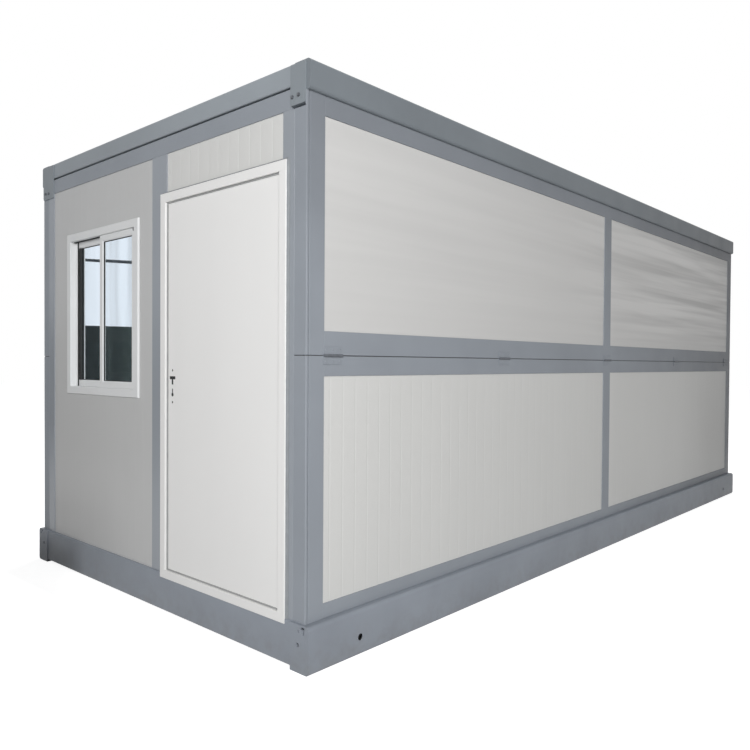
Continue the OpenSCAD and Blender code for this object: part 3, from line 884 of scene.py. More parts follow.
@dataclass
class Fixings:
    """Bolts and screws, made once along +Z and then turned to where they go."""

    bolt_radius: float = 0.0065
    bolt_height: float = 0.0055
    washer_radius: float = 0.0085
    washer_height: float = 0.002
    screw_radius: float = 0.0045
    screw_height: float = 0.0022
    dome_top: float = 0.12
    dome_foot: float = 0.0004

    def bolt(self) -> Skin:
        """A washer and a hexagon head whose corners are turned down to a cone."""
        r, h, w = self.bolt_radius, self.bolt_height, self.washer_height
        wide = self.washer_radius
        washer = turned(np.array([(wide, 0), (wide, w * 0.8), (wide * 0.97, w), (r * 0.9, w)]))
        head = turned(np.array([(r, w * 0.9), (r, w + h * 0.8), (r * 0.86, w + h),
                                (r * 0.7, w + h)]), flats=6)
        return washer.join(head)

    def screw(self) -> Skin:
        """A low domed head: its height falls off as the square of the radius."""
        r, t = self.screw_radius, np.linspace(1, self.dome_top, 5)
        dome = np.stack([r * t, self.screw_height * (1.0 - t ** 2) + self.dome_foot], axis=1)
        return turned(np.concatenate([[[r, 0.0]], dome]), 12)

    @staticmethod
    def row(part: Skin, normal: Point, spots: ArrayLike) -> Skin:
        """The same part at many spots.

        Args:
            part: the part, made along +Z.
            normal: the direction its head faces.
            spots: one row of X, Y and Z for each.

        Returns:
            All of them as one skin.
        """
        turn = Vector((0, 0, 1)).rotation_difference(Vector(normal)).to_matrix()
        base = part.moved(turn)
        points, count = np.concatenate(base.points), base.count
        every = points[None, :, :] + np.asarray(spots, dtype=float)[:, None, :]
        offset = (np.arange(len(spots)) * count)[:, None, None]
        faces = [(f[None] + offset).reshape(-1, f.shape[1]) for f in base.faces]
        return Skin().add(every, *faces)


@dataclass
class SteelFrame:
    """The posts, rails and head beams: square steel tubes with rounded edges."""

    edge: float = 0.0014
    corner_edge: float = 0.0035
    end_edge: float = 0.0012
    corner_groove_in: float = 0.012
    corner_groove_w: float = 0.004
    corner_groove_d: float = 0.006
    slot_h: float = 0.012
    slot_depth: float = 0.020
    slot_in_plate: float = 0.002

    def tubes(self, node: str, along: Axis) -> Skin:
        """The tubes of one node, rounded along their length and crisp at their ends."""
        return Skin.of(self.tube(lo, hi, along) for lo, hi in solids(node))

    def tube(self, lo: Array, hi: Array, along: Axis) -> Skin:
        """A tube, with a step cut out of one corner where it has a slot.

        Args:
            lo: lowest corner.
            hi: highest corner.
            along: the direction of the tube.

        Returns:
            The closed skin.
        """
        slot = self.slot_in(lo, hi)
        if slot is None:
            radius = np.full(3, self.edge)
            radius[along.value] = self.end_edge
            return soft_block(lo, hi, radius)
        (a, b), c, size = along.others, along.value, slot[1] - slot[0]
        left, low = slot[0][a] <= lo[a] + TOUCH, slot[0][b] <= lo[b] + TOUCH
        corner = {(False, False): 0, (True, False): 1, (True, True): 2, (False, True): 3}
        plain, stepped = stepped_rectangle((lo[a], hi[a]), (lo[b], hi[b]), self.edge,
                                           corner[(left, low)], (size[a], size[b]))
        return notched(plain, stepped, (lo[c], hi[c]), (slot[0][c], slot[1][c]), along)

    def slot_in(self, lo: Array, hi: Array) -> Box | None:
        """The part of a slot under a right corner plate that lies inside a tube's box.

        Args:
            lo: lowest corner of the tube.
            hi: highest corner of the tube.

        Returns:
            The box that is cut out, or None where the tube has none.
        """
        for low, high in solids("roof_corner_plates"):
            inner = min(low[1], high[1], key=abs)
            ends = sorted((inner, inner - math.copysign(self.slot_depth, inner)))
            a = np.maximum(lo, (low[0] + self.slot_in_plate, ends[0], low[2] - self.slot_h))
            b = np.minimum(hi, (high[0] - self.slot_in_plate, ends[1], low[2]))
            if low[0] > 0 and np.all(b - a > TOUCH):
                return a, b
        return None

    def corner_posts(self, node: str) -> Skin:
        """The three posts of a wall half, with the fine groove beside the outer corners."""
        found = solids(node)
        front, rear = min(b[0][1] for b in found), max(b[1][1] for b in found)
        return Skin.of(self.tube(lo, hi, Axis.Z)
                       if lo[1] > front + TOUCH and hi[1] < rear - TOUCH
                       else self.end_post(lo, hi) for lo, hi in found)

    def end_post(self, lo: Array, hi: Array) -> Skin:
        """An end post: its grooved plan, carried upwards past the slot if it has one.

        Args:
            lo: lowest corner.
            hi: highest corner.

        Returns:
            The closed skin.
        """
        slot = self.slot_in(lo, hi)
        if slot is None:
            return carried(self.grooved(lo, hi), (lo[2], hi[2]), Axis.Z)
        plain, stepped = (self.grooved(lo, hi, slot[1][:2] - slot[0][:2], whole)
                          for whole in (True, False))
        return notched(plain, stepped, (lo[2], hi[2]), (slot[0][2], slot[1][2]), Axis.Z)

    def grooved(self, lo: Array, hi: Array, cut: Array | None = None,
                whole: bool = True) -> Array:
        """The plan of an end post.

        It is drawn with the house's outer corner at the right and the top, and then turned over
        to where that corner is.

        Args:
            lo: lowest corner of the post.
            hi: highest corner of the post.
            cut: width and depth of a slot in the end face, or None.
            whole: whether the slot's place is left whole, with the slot's ends as points.

        Returns:
            The outline, anticlockwise, with its groove.
        """
        turn = np.where(lo + hi > 0, 1.0, -1.0)[:2]
        (x, y), radii = (hi - lo)[:2] / 2, (self.corner_edge, self.edge, self.edge, self.edge)
        if cut is None:
            plain = soft_rectangle((-x, x), (-y, y), radii)
        else:
            plain = stepped_rectangle((-x, x), (-y, y), radii, 1, cut)[0 if whole else 1]
        top = y - self.corner_groove_in
        low, lip = top - self.corner_groove_w, self.corner_groove_w / 4
        deep = x - self.corner_groove_d
        groove = [(x, low - lip), (x - lip, low), (deep, low), (deep, top), (x - lip, top),
                  (x, top + lip)]
        return right_hand(np.concatenate([plain[-4:], groove, plain[:-4]]) * turn
                          + (lo + hi)[:2] / 2)

    def build(self) -> None:
        """Makes all the tubes of the four walls."""
        for side in ("right", "left"):
            for half in ("lower", "upper"):
                posts, rails = f"{side}_{half}_posts", f"{side}_{half}_rails"
                place(self.corner_posts(posts).piece(f"{side}_{half}_wall_posts"), WALL_PAINT,
                      Slot.FRAME, nodes=(posts,))
                place(self.tubes(rails, Axis.Y).piece(f"{side}_{half}_wall_rails"), WALL_PAINT,
                      Slot.FRAME, nodes=(rails,))
        for node, name, along, paint in (
                ("head_beams", "head_tubes", Axis.X, STEEL_PAINT),
                ("front_posts", "front_wall_posts", Axis.Z, FRONT_PAINT),
                ("rear_posts", "rear_wall_posts", Axis.Z, FRONT_PAINT)):
            place(self.tubes(node, along).piece(name), paint, Slot.FRAME, nodes=(node,))


@dataclass
class PanelFace:
    """How a coated panel's face is rolled: its shallow ribs and its slow waves."""

    pitch: float = 0.078
    rib_width: float = 0.014
    rib_depth: float = 0.0010
    wave_height: float = 0.00025
    wave_length: float = 0.085
    slope: float = 0.02
    waves_laid: int = 5
    lengths: Span = (0.6, 2.0)
    phases: Span = (0.0, 6.28)
    swells: Span = (0.5, 1.3)
    drift: float = 0.5
    height_of_sum: float = 2.2
    seed: int = 4

    def rib_stations(self, start: float, stop: float, origin: float) -> Array:
        """Places across the ribs: five on each rib and one between neighbours."""
        middle = origin + self.pitch * (np.arange(int((stop - origin) / self.pitch) + 1) + 0.5)
        step = np.linspace(-0.5, 0.5, 5) * self.rib_width
        every = np.concatenate([[start], (middle[:, None] + step[None, :]).ravel(),
                                middle + self.pitch / 2, [stop]])
        return np.unique(np.round(every[(every >= start) & (every <= stop)], RIB_DIGITS))

    def rib(self, s: Array, origin: float) -> Array:
        """Depth of the ribs: half a cosine across each rib, and nothing between them."""
        t = np.mod(s - origin, self.pitch) - self.pitch / 2
        inside = np.abs(t) < self.rib_width / 2
        return np.where(inside, self.rib_depth * (1 + np.cos(2 * math.pi * t / self.rib_width)) / 2,
                        0.0)

    def waves(self, along: Array, across: Array) -> Array:
        """Slow waves of the sheet.

        Sine waves with seeded lengths and phases run across the panel. Each drifts a little
        with the distance along it, and swells and fades.

        Args:
            along: distance along the panel.
            across: distance across the waves.

        Returns:
            The height of the sheet, about as high as wave_height.
        """
        rng = np.random.default_rng(self.seed)
        total = np.zeros(np.broadcast(along, across).shape)
        for _ in range(self.waves_laid):
            length = self.wave_length * rng.uniform(*self.lengths)
            phase, swell = rng.uniform(*self.phases), rng.uniform(*self.swells)
            drift = rng.normal(0, self.drift)
            bend = drift * np.sin(swell * along * 2 + phase)
            run = 2 * math.pi * (across + self.slope * along) / length + phase + bend
            total += np.sin(run) * (0.6 + 0.4 * np.sin(swell * along * 3 + phase * 2))
        return self.wave_height * total / self.height_of_sum


@dataclass
class WallPanels:
    """The white sandwich panels: steel sheets with shallow ribs on a foam core."""

    plain: PanelFace = field(default_factory=PanelFace)
    lengthwise: PanelFace = field(default_factory=lambda: PanelFace(
        rib_depth=0.0, wave_height=0.0004, wave_length=0.16, slope=0.05, seed=11))
    margin: float = 0.0004
    fine: tuple[int, int] = (48, 120)
    fade: float = 0.08

    def sheet(self, lo: Array, hi: Array, normal: Axis, outward: float, face: PanelFace,
              origin: float) -> Skin:
        """One panel.

        Both faces are grids over the panel's width and height. Each point is set back from the
        panel's own plane by the rib's depth, and moved by the waves.

        Args:
            lo: lowest corner.
            hi: highest corner.
            normal: the axis the panel faces along.
            outward: 1 if it faces the positive way, and -1 if the negative.
            face: how the sheet is rolled.
            origin: where the ribs are counted from.

        Returns:
            The closed skin.
        """
        wide, n = 1 - normal.value, normal.value
        if face.rib_depth > 0:
            right, up = np.meshgrid(face.rib_stations(lo[wide], hi[wide], origin),
                                    np.linspace(lo[2], hi[2], 2))
            depth = face.rib(right, origin)
        else:
            low, high = lo[2] + self.margin, hi[2] - self.margin
            right, up = np.meshgrid(np.linspace(lo[wide], hi[wide], self.fine[0]),
                                    np.linspace(low, high, self.fine[1]))
            edge = np.minimum(1, np.minimum(up - low, high - up) / self.fade)
            depth = face.wave_height - face.waves(right, up) * edge
        sides = []
        for way in (outward, -outward):
            points = np.zeros((*right.shape, 3))
            points[..., wide], points[..., 2] = right, up
            points[..., n] = (hi if way > 0 else lo)[n] - way * depth
            sides.append(points if (normal is Axis.X) == (outward > 0) else points[:, ::-1])
        return slab(*sides)

    def group(self, nodes: tuple[str, ...], normal: Axis, outward: float,
              face: PanelFace) -> Skin:
        """All the panels of some nodes as one skin."""
        found = [pair for node in nodes for pair in solids(node)]
        origin = min(lo[1 - normal.value] for lo, _ in found)
        return Skin.of(self.sheet(lo, hi, normal, outward, face, origin) for lo, hi in found)

    def build(self) -> None:
        """Makes the panels of the four walls."""
        for side, outward in (("right", 1.0), ("left", -1.0)):
            low, high = (f"{side}_lower_panels",), (f"{side}_upper_panels",)
            lower = self.group(low, Axis.X, outward, self.plain)
            place(lower.piece(f"{side}_lower_wall_panels"), PANEL_COAT, Slot.PANEL, nodes=low)
            upper = self.group(high, Axis.X, outward, self.lengthwise)
            place(upper.piece(f"{side}_upper_wall_panels", crease=60, flats=False), PANEL_GLOSS,
                  Slot.PANEL, nodes=high)
        window = ("window_panels_above_below", "window_panels_beside")
        for name, nodes, outward, coating in (
                ("panels_round_window", window, -1.0, SHADED_WINDOW_WALL),
                ("panel_over_door", ("over_door_panel",), -1.0, PANEL_COAT),
                ("rear_wall_panels", ("rear_panels",), 1.0, PANEL_COAT)):
            place(self.group(nodes, Axis.Y, outward, self.plain).piece(name), coating,
                  Slot.PANEL, nodes=nodes)


@dataclass
class FoldHinges:
    """The hinges along the fold line of the long walls."""

    leaf_t: float = 0.003
    knuckles: int = 5
    gap: float = 0.0008
    pin_in: float = 0.0005
    edge: float = 0.0008
    seal_edge: float = 0.0004
    screw_in: float = 0.014
    seal_in: float = 0.004
    fixings: Fixings = field(default_factory=lambda: Fixings(screw_radius=0.005))

    def leaves(self, lo: Array, hi: Array, outward: float) -> Skin:
        """Two leaves with three screws in each.

        Args:
            lo: lowest corner of the hinge.
            hi: highest corner of the hinge.
            outward: 1 on the right wall, and -1 on the left.

        Returns:
            The leaves.
        """
        wall = lo[0] if outward > 0 else hi[0]
        face = wall + outward * self.leaf_t
        middle, (near, far) = (lo[2] + hi[2]) / 2, sorted((wall, face))
        skin = soft_blocks([((near, lo[1], lo[2]), (far, hi[1], middle - self.gap)),
                            ((near, lo[1], middle + self.gap), (far, hi[1], hi[2]))],
                           self.edge, 2)
        across = np.linspace(lo[1] + self.screw_in, hi[1] - self.screw_in, 3)
        for z in (lo[2] + self.screw_in, hi[2] - self.screw_in):
            skin.join(self.fixings.row(self.fixings.screw(), (outward, 0, 0),
                                       [(face, y, z) for y in across]))
        return skin

    def barrel(self, lo: Array, hi: Array, outward: float) -> Skin:
        """A barrel of knuckles on a pin, made along +Z and then laid along the wall.

        Args:
            lo: lowest corner of the hinge.
            hi: highest corner of the hinge.
            outward: 1 on the right wall, and -1 on the left.

        Returns:
            The barrel.
        """
        r, e, half = (hi[0] - lo[0]) / 2, self.edge, self.gap / 2
        length = (hi[1] - lo[1]) / self.knuckles
        knuckle = turned(np.array([(r - e, half), (r, half + e), (r, length - half - e),
                                   (r - e, length - half)]))
        pin = turned(np.array([(r / 2, self.pin_in), (r / 2, hi[1] - lo[1] - self.pin_in)]), 12)
        wall = lo[0] if outward > 0 else hi[0]
        centre = np.array([wall + outward * r, lo[1], (lo[2] + hi[2]) / 2])
        return Skin.of([pin.moved(LAID, centre),
                        *(knuckle.moved(LAID, centre + (0, i * length, 0))
                          for i in range(self.knuckles))])

    def seal(self, side: str) -> Skin:
        """The rubber strip in the gap of a long wall, set in from the wall's faces."""
        low, high = box(f"{side}_lower_posts"), box(f"{side}_upper_posts")
        inset = np.array([self.seal_in, self.seal_in, 0.0])
        a = np.array([*low[0][:2], low[1][2]]) + inset
        b = np.array([*low[1][:2], high[0][2]]) - inset
        return soft_block(a, b, self.seal_edge, 1)

    def build(self) -> None:
        """Makes the hinges and the seals of both long walls."""
        for side, outward in (("right", 1.0), ("left", -1.0)):
            node = f"{side}_fold_hinges"
            leaves = Skin.of(self.leaves(lo, hi, outward) for lo, hi in solids(node))
            barrels = Skin.of(self.barrel(lo, hi, outward) for lo, hi in solids(node))
            place(leaves.piece(f"{side}_wall_hinges"), HINGE_PAINT, Slot.HINGE, nodes=(node,))
            place(barrels.piece(f"{side}_hinge_barrels"), SHADED_BARREL_PAINT, Slot.HINGE)
            place(self.seal(side).piece(f"{side}_fold_line_seal"), FOLD_SEAL, Slot.HINGE)


@dataclass
class Frames:
    """The base and roof frames: rolled beams, joists, and what bolts them together."""

    plate_bolts: tuple[Span, ...] = ((0.077, 0.035), (0.038, 0.037))
    fixings: Fixings = field(default_factory=Fixings)

    def build(self) -> None:
        """Eases the beams' edges, coats the joists and adds the corner bolts."""
        for node, name, paint, width in (
                ("base_side_beams", "base_side_channels", BASE_PAINT, 0.003),
                ("base_end_beams", "base_end_channels", BASE_PAINT, 0.0015),
                ("roof_side_beams", "roof_side_channels", ROOF_SIDE_PAINT, 0.003),
                ("roof_corner_plates", "corner_plates", ROOF_PAINT, 0.001)):
            place(merged(node).piece(name, eased=width), paint, Slot.FRAME, nodes=(node,))
        for node, paint in (("floor_joists", BASE_PAINT), ("roof_end_beams", HIGHLIT_ROOF_END_PAINT),
                            ("roof_joists", ROOF_PAINT)):
            coat(node, paint)
        bolts = Skin.of(self.bolts(lo, hi) for lo, hi in solids("roof_corner_plates"))
        place(bolts.piece("corner_bolts"), DARK_STEEL, Slot.FRAME)

    def bolts(self, lo: Array, hi: Array) -> Skin:
        """The bolts of the corner plate between two corners, on its end face."""
        side, end, _ = np.where(hi > 0, 1.0, -1.0)
        outer, y, _ = np.where(hi > 0, hi, lo)
        spots = [(outer - side * across, y, lo[2] + up) for across, up in self.plate_bolts]
        return self.fixings.row(self.fixings.bolt(), (0, end, 0), spots)


@dataclass
class Roof:
    """The ribbed roof sheet with its screws, and the ceiling under it."""

    panel_width: float = 0.95
    joint: float = 0.004
    joint_depth: float = 0.003
    board_gap: float = 0.0002
    screw_pitch: float = 0.41
    screw_in: Span = (0.1, 0.05)
    screw_lift: float = 0.004
    rib_pitch: float = 0.205
    rib_half: float = 0.035
    fixings: Fixings = field(default_factory=lambda: Fixings(
        bolt_radius=0.006, bolt_height=0.005, washer_radius=0.010, washer_height=0.0015))

    def ceiling(self) -> Skin:
        """Panels side by side, whose lower edges are sloped so that each joint shows as a V."""
        lo, hi = box("ceiling_panel")
        count = max(1, round((hi[1] - lo[1]) / self.panel_width))
        edges = np.linspace(lo[1], hi[1], count + 1)
        d, j = self.joint_depth, self.joint
        skin = Skin()
        for a, b in zip(edges[:-1], edges[1:]):
            a, b = a + self.board_gap, b - self.board_gap
            outline = np.array([(a + j, lo[2]), (b - j, lo[2]), (b, lo[2] + d), (b, hi[2]),
                                (a, hi[2]), (a, lo[2] + d)])
            skin.join(carried(outline, (lo[0], hi[0]), Axis.X))
        return skin

    def build(self) -> None:
        """Makes the ceiling and the roof screws, and coats the sheet."""
        place(self.ceiling().piece("ceiling_boards"), PANEL_COAT, Slot.PANEL,
              nodes=("ceiling_panel",))
        coat("roof_sheet", ROOF_COAT)
        lo, hi = box("roof_sheet")
        joists = solids("roof_joists")
        y = np.array([(a[1] + b[1]) / 2 for a, b in joists])
        x = np.arange(lo[0] + self.screw_in[0], hi[0] - self.screw_in[1], self.screw_pitch)
        grid_x, grid_y = np.meshgrid(x, self.beside_ribs(y))
        spots = level(np.column_stack([grid_x.ravel(), grid_y.ravel()]),
                      joists[0][1][2] + self.screw_lift)
        skin = self.fixings.row(self.fixings.bolt(), (0, 0, 1), spots)
        place(skin.piece("roof_screws"), DARK_STEEL, Slot.ROOF)

    def beside_ribs(self, y: Array) -> Array:
        """Moves each screw line off a rib, to the flat beside it."""
        pitch, half = self.rib_pitch, self.rib_half
        off = np.mod(y + pitch / 2, pitch) - pitch / 2
        return np.where(np.abs(off) < half, y - off + np.where(off >= 0, half, -half), y)


@dataclass
class Floor:
    """The floor deck: boards across the joists with fine joints between them."""

    board_width: float = 1.22
    joint: float = 0.0015
    edge: float = 0.001

    def build(self) -> None:
        """Makes the boards."""
        lo, hi = box("floor_deck")
        count = max(1, math.ceil((hi[1] - lo[1]) / self.board_width))
        edges = np.linspace(lo[1], hi[1], count + 1)
        skin = soft_blocks([((lo[0], a + self.joint / 2, lo[2]),
                             (hi[0], b - self.joint / 2, hi[2]))
                            for a, b in zip(edges[:-1], edges[1:])], self.edge, 2)
        place(skin.piece("floor_boards"), BOARD, Slot.FLOOR, nodes=("floor_deck",))


@dataclass
class Window:
    """The sliding window: a mitred frame, two sashes, their seals and their panes."""

    trim_w: float = 0.020
    body_w: float = 0.025
    trim_t: float = 0.005
    edge: float = 0.0015
    seal: float = 0.004
    glass_edge: float = 0.001
    trim_slope: float = 0.003
    brush_t: float = 0.004
    brush_in: float = 0.029
    brush_w: float = 0.009
    brush_gap: float = 0.001
    head_brush: float = 0.014
    bar: float = 0.0385
    # width of the dark strip over the inner sash's left stile and pane edge: painted shadow and
    # reflection of the reveal
    shade_strip: float = 0.024
    rebate: float = 0.0095
    stop: float = 0.014
    stop_in: float = 0.003
    stop_gap: float = 0.0002
    brush_edge: float = 0.0005
    sash_gap: float = 0.0003
    sash_step: float = 0.004
    seal_half: tuple[Span, ...] = ((1.0, 0.0045), (0.4, 0.0065), (0.0, 0.0068))

    def frame_profile(self, face: float, back: float) -> Array:
        """The frame's section: a trim with an eased edge, and a body with a shallow track step.

        Args:
            face: Y of the trim's face.
            back: Y of the frame's inner side.

        Returns:
            Rows of distance outwards from the light and depth along Y.
        """
        w, b, e = self.body_w + self.trim_w, self.body_w, self.edge
        lap = face + self.trim_t * 2
        return np.array([
            (0, face + e), (e, face), (w - self.trim_slope, face), (w, face + self.trim_t * 0.9),
            (w, lap), (b, lap), (b, back), (0, back)])

    def brushes(self, x: Span, z: Span, outer: Box, inner: Box) -> Skin:
        """The brush seals of the inner sash, and the stop in the head over the outer one.

        Args:
            x: left and right of the light.
            z: bottom and top of the light.
            outer: the outer sash's box.
            inner: the inner sash's box.

        Returns:
            The seals as one skin.
        """
        t, g, back = self.brush_t, self.brush_gap, inner[0][1] - self.brush_gap
        left, right = x[0] + self.brush_in, x[0] + self.brush_in + self.brush_w
        stop_x, stop_z = x[1] - self.stop_in, z[1] - self.stop_in
        # the head brush and the strip over the left stile are dark partly as painted shade: the
        # shade under the head, and the reveal's shadow and reflection on the pane's edge
        return soft_blocks([
            ((x[0], back - self.head_brush, z[1] - t), (outer[0][0] - g, back, z[1])),
            ((left, back - t, z[0]), (right, back, z[1] - t)),
            ((right, back, z[0] + self.bar),
             (right + self.shade_strip, back + self.rebate, z[1] - self.bar)),
            ((stop_x - self.stop, outer[0][1] - t, stop_z - self.stop),
             (stop_x, outer[0][1] - self.stop_gap, stop_z))], self.brush_edge, 1)

    def sash(self, x: Span, z: Span, y: Span, bar: float) -> tuple[Skin, Skin]:
        """A sash and its glazing seal.

        Args:
            x: left and right of the sash.
            z: bottom and top.
            y: outer and inner face.
            bar: width of its bars.

        Returns:
            The sash, and the seal that holds the pane.
        """
        e, step = self.edge, self.sash_step
        half = np.array([(-bar, step), (-bar + step, e), (-bar + step + e, 0), (-e, 0), (0, e)])
        seal = np.array([(-bar - self.seal * out, -deep) for out, deep in self.seal_half])
        middle = (y[0] + y[1]) / 2
        return (mitred(both_ways(half, *y), x, z),
                mitred(both_ways(seal, middle, middle), x, z))

    def build(self) -> None:
        """Makes the window."""
        rails = solids("window_frame_rails")
        lo = np.min([b[0] for b in rails], axis=0)
        hi = np.max([b[1] for b in rails], axis=0)
        trim = self.trim_w + self.body_w
        light_x, light_z = (lo[0] + trim, hi[0] - trim), (lo[2] + trim, hi[2] - trim)
        place(mitred(self.frame_profile(lo[1], hi[1]), light_x, light_z).piece("window_frame"),
              VINYL, Slot.VINYL, nodes=("window_frame_rails", "window_frame_stiles"))
        panes = sorted(solids("window_glass"), key=lambda b: b[0][0])
        seals, glass = Skin(), Skin()
        sashes = ("window_sash_left", "window_sash_right")
        for node, pane in zip(sashes, panes):
            (a, b), gap = box(node), self.sash_gap
            sash, seal = self.sash((a[0] + gap, b[0] - gap), (a[2] + gap, b[2] - gap),
                                   (a[1], b[1]), pane[0][0] - a[0] - gap)
            place(sash.piece(f"{node}_bars"), VINYL, Slot.VINYL, nodes=(node,))
            seals.join(seal)
            glass.join(soft_block(pane[0], pane[1], self.glass_edge, 2))
        place(seals.piece("glazing_seals"), RUBBER_AND_SHADE, Slot.VINYL)
        brushes = self.brushes(light_x, light_z, box(sashes[1]), box(sashes[0]))
        place(brushes.piece("window_brush_seals"), RUBBER_AND_SHADE, Slot.VINYL)
        place(glass.piece("window_panes"), GLASS, Slot.GLASS, nodes=("window_glass",))


@dataclass
class Door:
    """The door: its frame, its seals, the leaf with the lock's holes, and the hinges."""

    edge: float = 0.0015
    leaf_edge: float = 0.0012
    corner: float = 0.002
    seal_w: float = 0.0025
    seal_shape: tuple[Span, ...] = ((1, 0.006), (0.6, 0.004), (0, 0.003), (0, 0.014),
                                    (0.6, 0.013), (1, 0.011))
    lip_w: tuple[float, float, float, float] = (0.013, 0.008, 0.008, 0.008)
    lip_t: float = 0.0025
    lip_gap: float = 0.0005
    lip_edge: float = 0.0006
    bead: float = 0.010
    pocket_in: float = 0.0012
    lock_in: float = 0.043
    lock_z: float = 1.150
    lock_screw_gap: float = 0.159
    screw_r: float = 0.006
    slot_wide: float = 0.052
    slot_w: float = 0.015
    slot_h: float = 0.041
    slot_top: float = 0.050
    cylinder_down: float = 0.041
    cylinder_h: float = 0.039
    cylinder_r: float = 0.010

    def lock_holes(self, x: float) -> list[Array]:
        """Outlines of the lock's holes: two screws, a T, and a circle with a slot above it.

        Args:
            x: the middle of the lock.

        Returns:
            The outlines in X and Z.
        """
        z, half, s = self.lock_z, self.slot_w / 2, self.lock_screw_gap / 2
        top, wide = z + self.slot_top, self.slot_wide / 2
        low, arm = top - self.slot_h, top - self.slot_w
        tee = np.array([(x - wide, top), (x - wide, arm), (x - half, arm), (x - half, low),
                        (x + half, low), (x + half, arm), (x + wide, arm), (x + wide, top)])
        c, r = z - self.cylinder_down, self.cylinder_r
        a = np.radians(np.linspace(120, 420, 24))
        round_part = np.stack([x + r * np.cos(a), c + r * np.sin(a)], axis=1)
        up = c + self.cylinder_h - r
        key = np.concatenate([round_part, [(x + r / 2, up), (x - r / 2, up)]])
        return [circle(x, z + s, self.screw_r), circle(x, z - s, self.screw_r), tee, key]

    def leaf(self) -> Skin:
        """The leaf: a plate with eased edges and the lock's holes through it, stood upright."""
        lo, hi = box("door_leaf")
        outline = soft_rectangle((lo[0], hi[0]), (lo[2], hi[2]), self.corner)
        plate = pierced(outline, self.lock_holes(lo[0] + self.lock_in), hi[1] - lo[1],
                        self.leaf_edge)
        return plate.moved(STOOD, (0, lo[1], 0))

    def lock_hole_shade(self) -> Skin:
        """Painted shade in the lock's holes: each outline carried back through the leaf."""
        lo, hi = box("door_leaf")
        ends = (lo[1] + self.pocket_in, hi[1] - self.pocket_in)
        return Skin.of(carried(right_hand(hole[:, ::-1]), ends, Axis.Y)
                       for hole in self.lock_holes(lo[0] + self.lock_in))

    def lips(self) -> Skin:
        """The flat grey seal on the frame, which laps over the leaf's outer face all round."""
        # painted shade: the seal's grey also stands in for the shade in the reveal and the gap
        # round the leaf
        lo = box("door_leaf")[0]
        jambs = solids("door_jambs")
        x = (jambs[0][1][0], jambs[1][0][0])
        z = (box("door_sill")[1][2], box("door_head")[0][2])
        back, front = lo[1] - self.lip_gap, lo[1] - self.lip_gap - self.lip_t
        left, top, bottom, right = self.lip_w
        inner = (x[0] + left, x[1] - right)
        return soft_blocks([((a, front, c), (b, back, d)) for (a, b), (c, d) in (
            ((x[0], inner[0]), z), ((inner[1], x[1]), z), (inner, (z[0], z[0] + bottom)),
            (inner, (z[1] - top, z[1])))], self.lip_edge, 2)

    def sealant(self) -> Skin:
        """The bead where the frame meets the wall: a hollow quarter round, up and over."""
        # painted shade: the bead's dark grey also stands in for the shade on the frame's outer
        # sides
        jambs, wall, r = solids("door_jambs"), box("front_posts")[0][1], self.bead
        a = np.linspace(0, math.pi / 2, 5)
        curve = np.stack([r - r * np.sin(a), r - r * np.cos(a)], axis=1)
        out, up = np.concatenate([[(0.0, 0.0)], curve]).T
        low, high = box("door_sill")[0][2], box("door_head")[1][2]
        ends = (jambs[0][0][0], jambs[1][1][0])
        skin = Skin()
        for x, way in zip(ends, (-1.0, 1.0)):
            outline = np.stack([x + way * out, wall - up], axis=1)
            skin.join(carried(right_hand(outline), (low, high), Axis.Z))
        over = np.stack([wall - up, high + out], axis=1)
        return skin.join(carried(right_hand(over), ends, Axis.X))

    def seals(self) -> Skin:
        """A rubber strip in the gap round the leaf, on the frame's side."""
        lo, hi = box("door_leaf")
        jambs = solids("door_jambs")
        clear_x = (jambs[0][1][0], jambs[1][0][0])
        gap = lo[0] - clear_x[0]
        clear_z = (lo[2] - gap, hi[2] + gap)
        outline = np.array([(-self.seal_w * out, lo[1] + deep) for out, deep in self.seal_shape])
        return mitred(outline, clear_x, clear_z)

    def build(self) -> None:
        """Makes the door and coats its hinges."""
        place(self.leaf().piece("door_panel", crease=25), DOOR_COAT, Slot.DOOR, Body.DOOR,
              ("door_leaf",))
        place(self.lock_hole_shade().piece("lock_hole_shade"), RUBBER_AND_SHADE, Slot.DOOR, Body.DOOR)
        bars = ("door_jambs", "door_head", "door_sill")
        place(merged(*bars).piece("door_frame_bars", eased=self.edge), DOOR_COAT, Slot.DOOR,
              nodes=bars)
        place(self.seals().piece("door_seals"), RUBBER_AND_SHADE, Slot.DOOR)
        place(self.lips().piece("door_lip_seals"), GREY_SEAL_AND_SHADE, Slot.DOOR)
        place(self.sealant().piece("door_sealant_bead"), SEALANT_AND_SHADE, Slot.DOOR)
        for node in ("door_hinge_plates", "door_hinge_knuckles"):
            coat(node, HINGE_PAINT)


# ---- Studio ----


@dataclass(frozen=True)
class Lamp:
    """A square soft light: where it hangs, the point it faces, its side and its watts."""

    name: str
    at: Point
    aim: Point
    size: float
    power: float

    def build(self) -> None:
        """Hangs the light."""
        data = bpy.data.lights.new(self.name, "AREA")
        data.size, data.energy = self.size, self.power
        lamp = bpy.data.objects.new(self.name, data)
        lamp.location = self.at
        way = Vector(self.aim) - Vector(self.at)
        lamp.rotation_euler = way.to_track_quat("-Z", "Y").to_euler()
        bpy.context.scene.collection.objects.link(lamp)


@dataclass(frozen=True)
class Card:
    """A card that only mirrors see, before the window.

    Its edges and its colours are given at its left end and at its right end. The shift says how
    far it hangs behind the foremost card, and the streaks how strong they are.
    """

    name: str
    low: Span
    high: Span
    shift: float
    left: Colour
    right: Colour
    streaks: float = 0.0


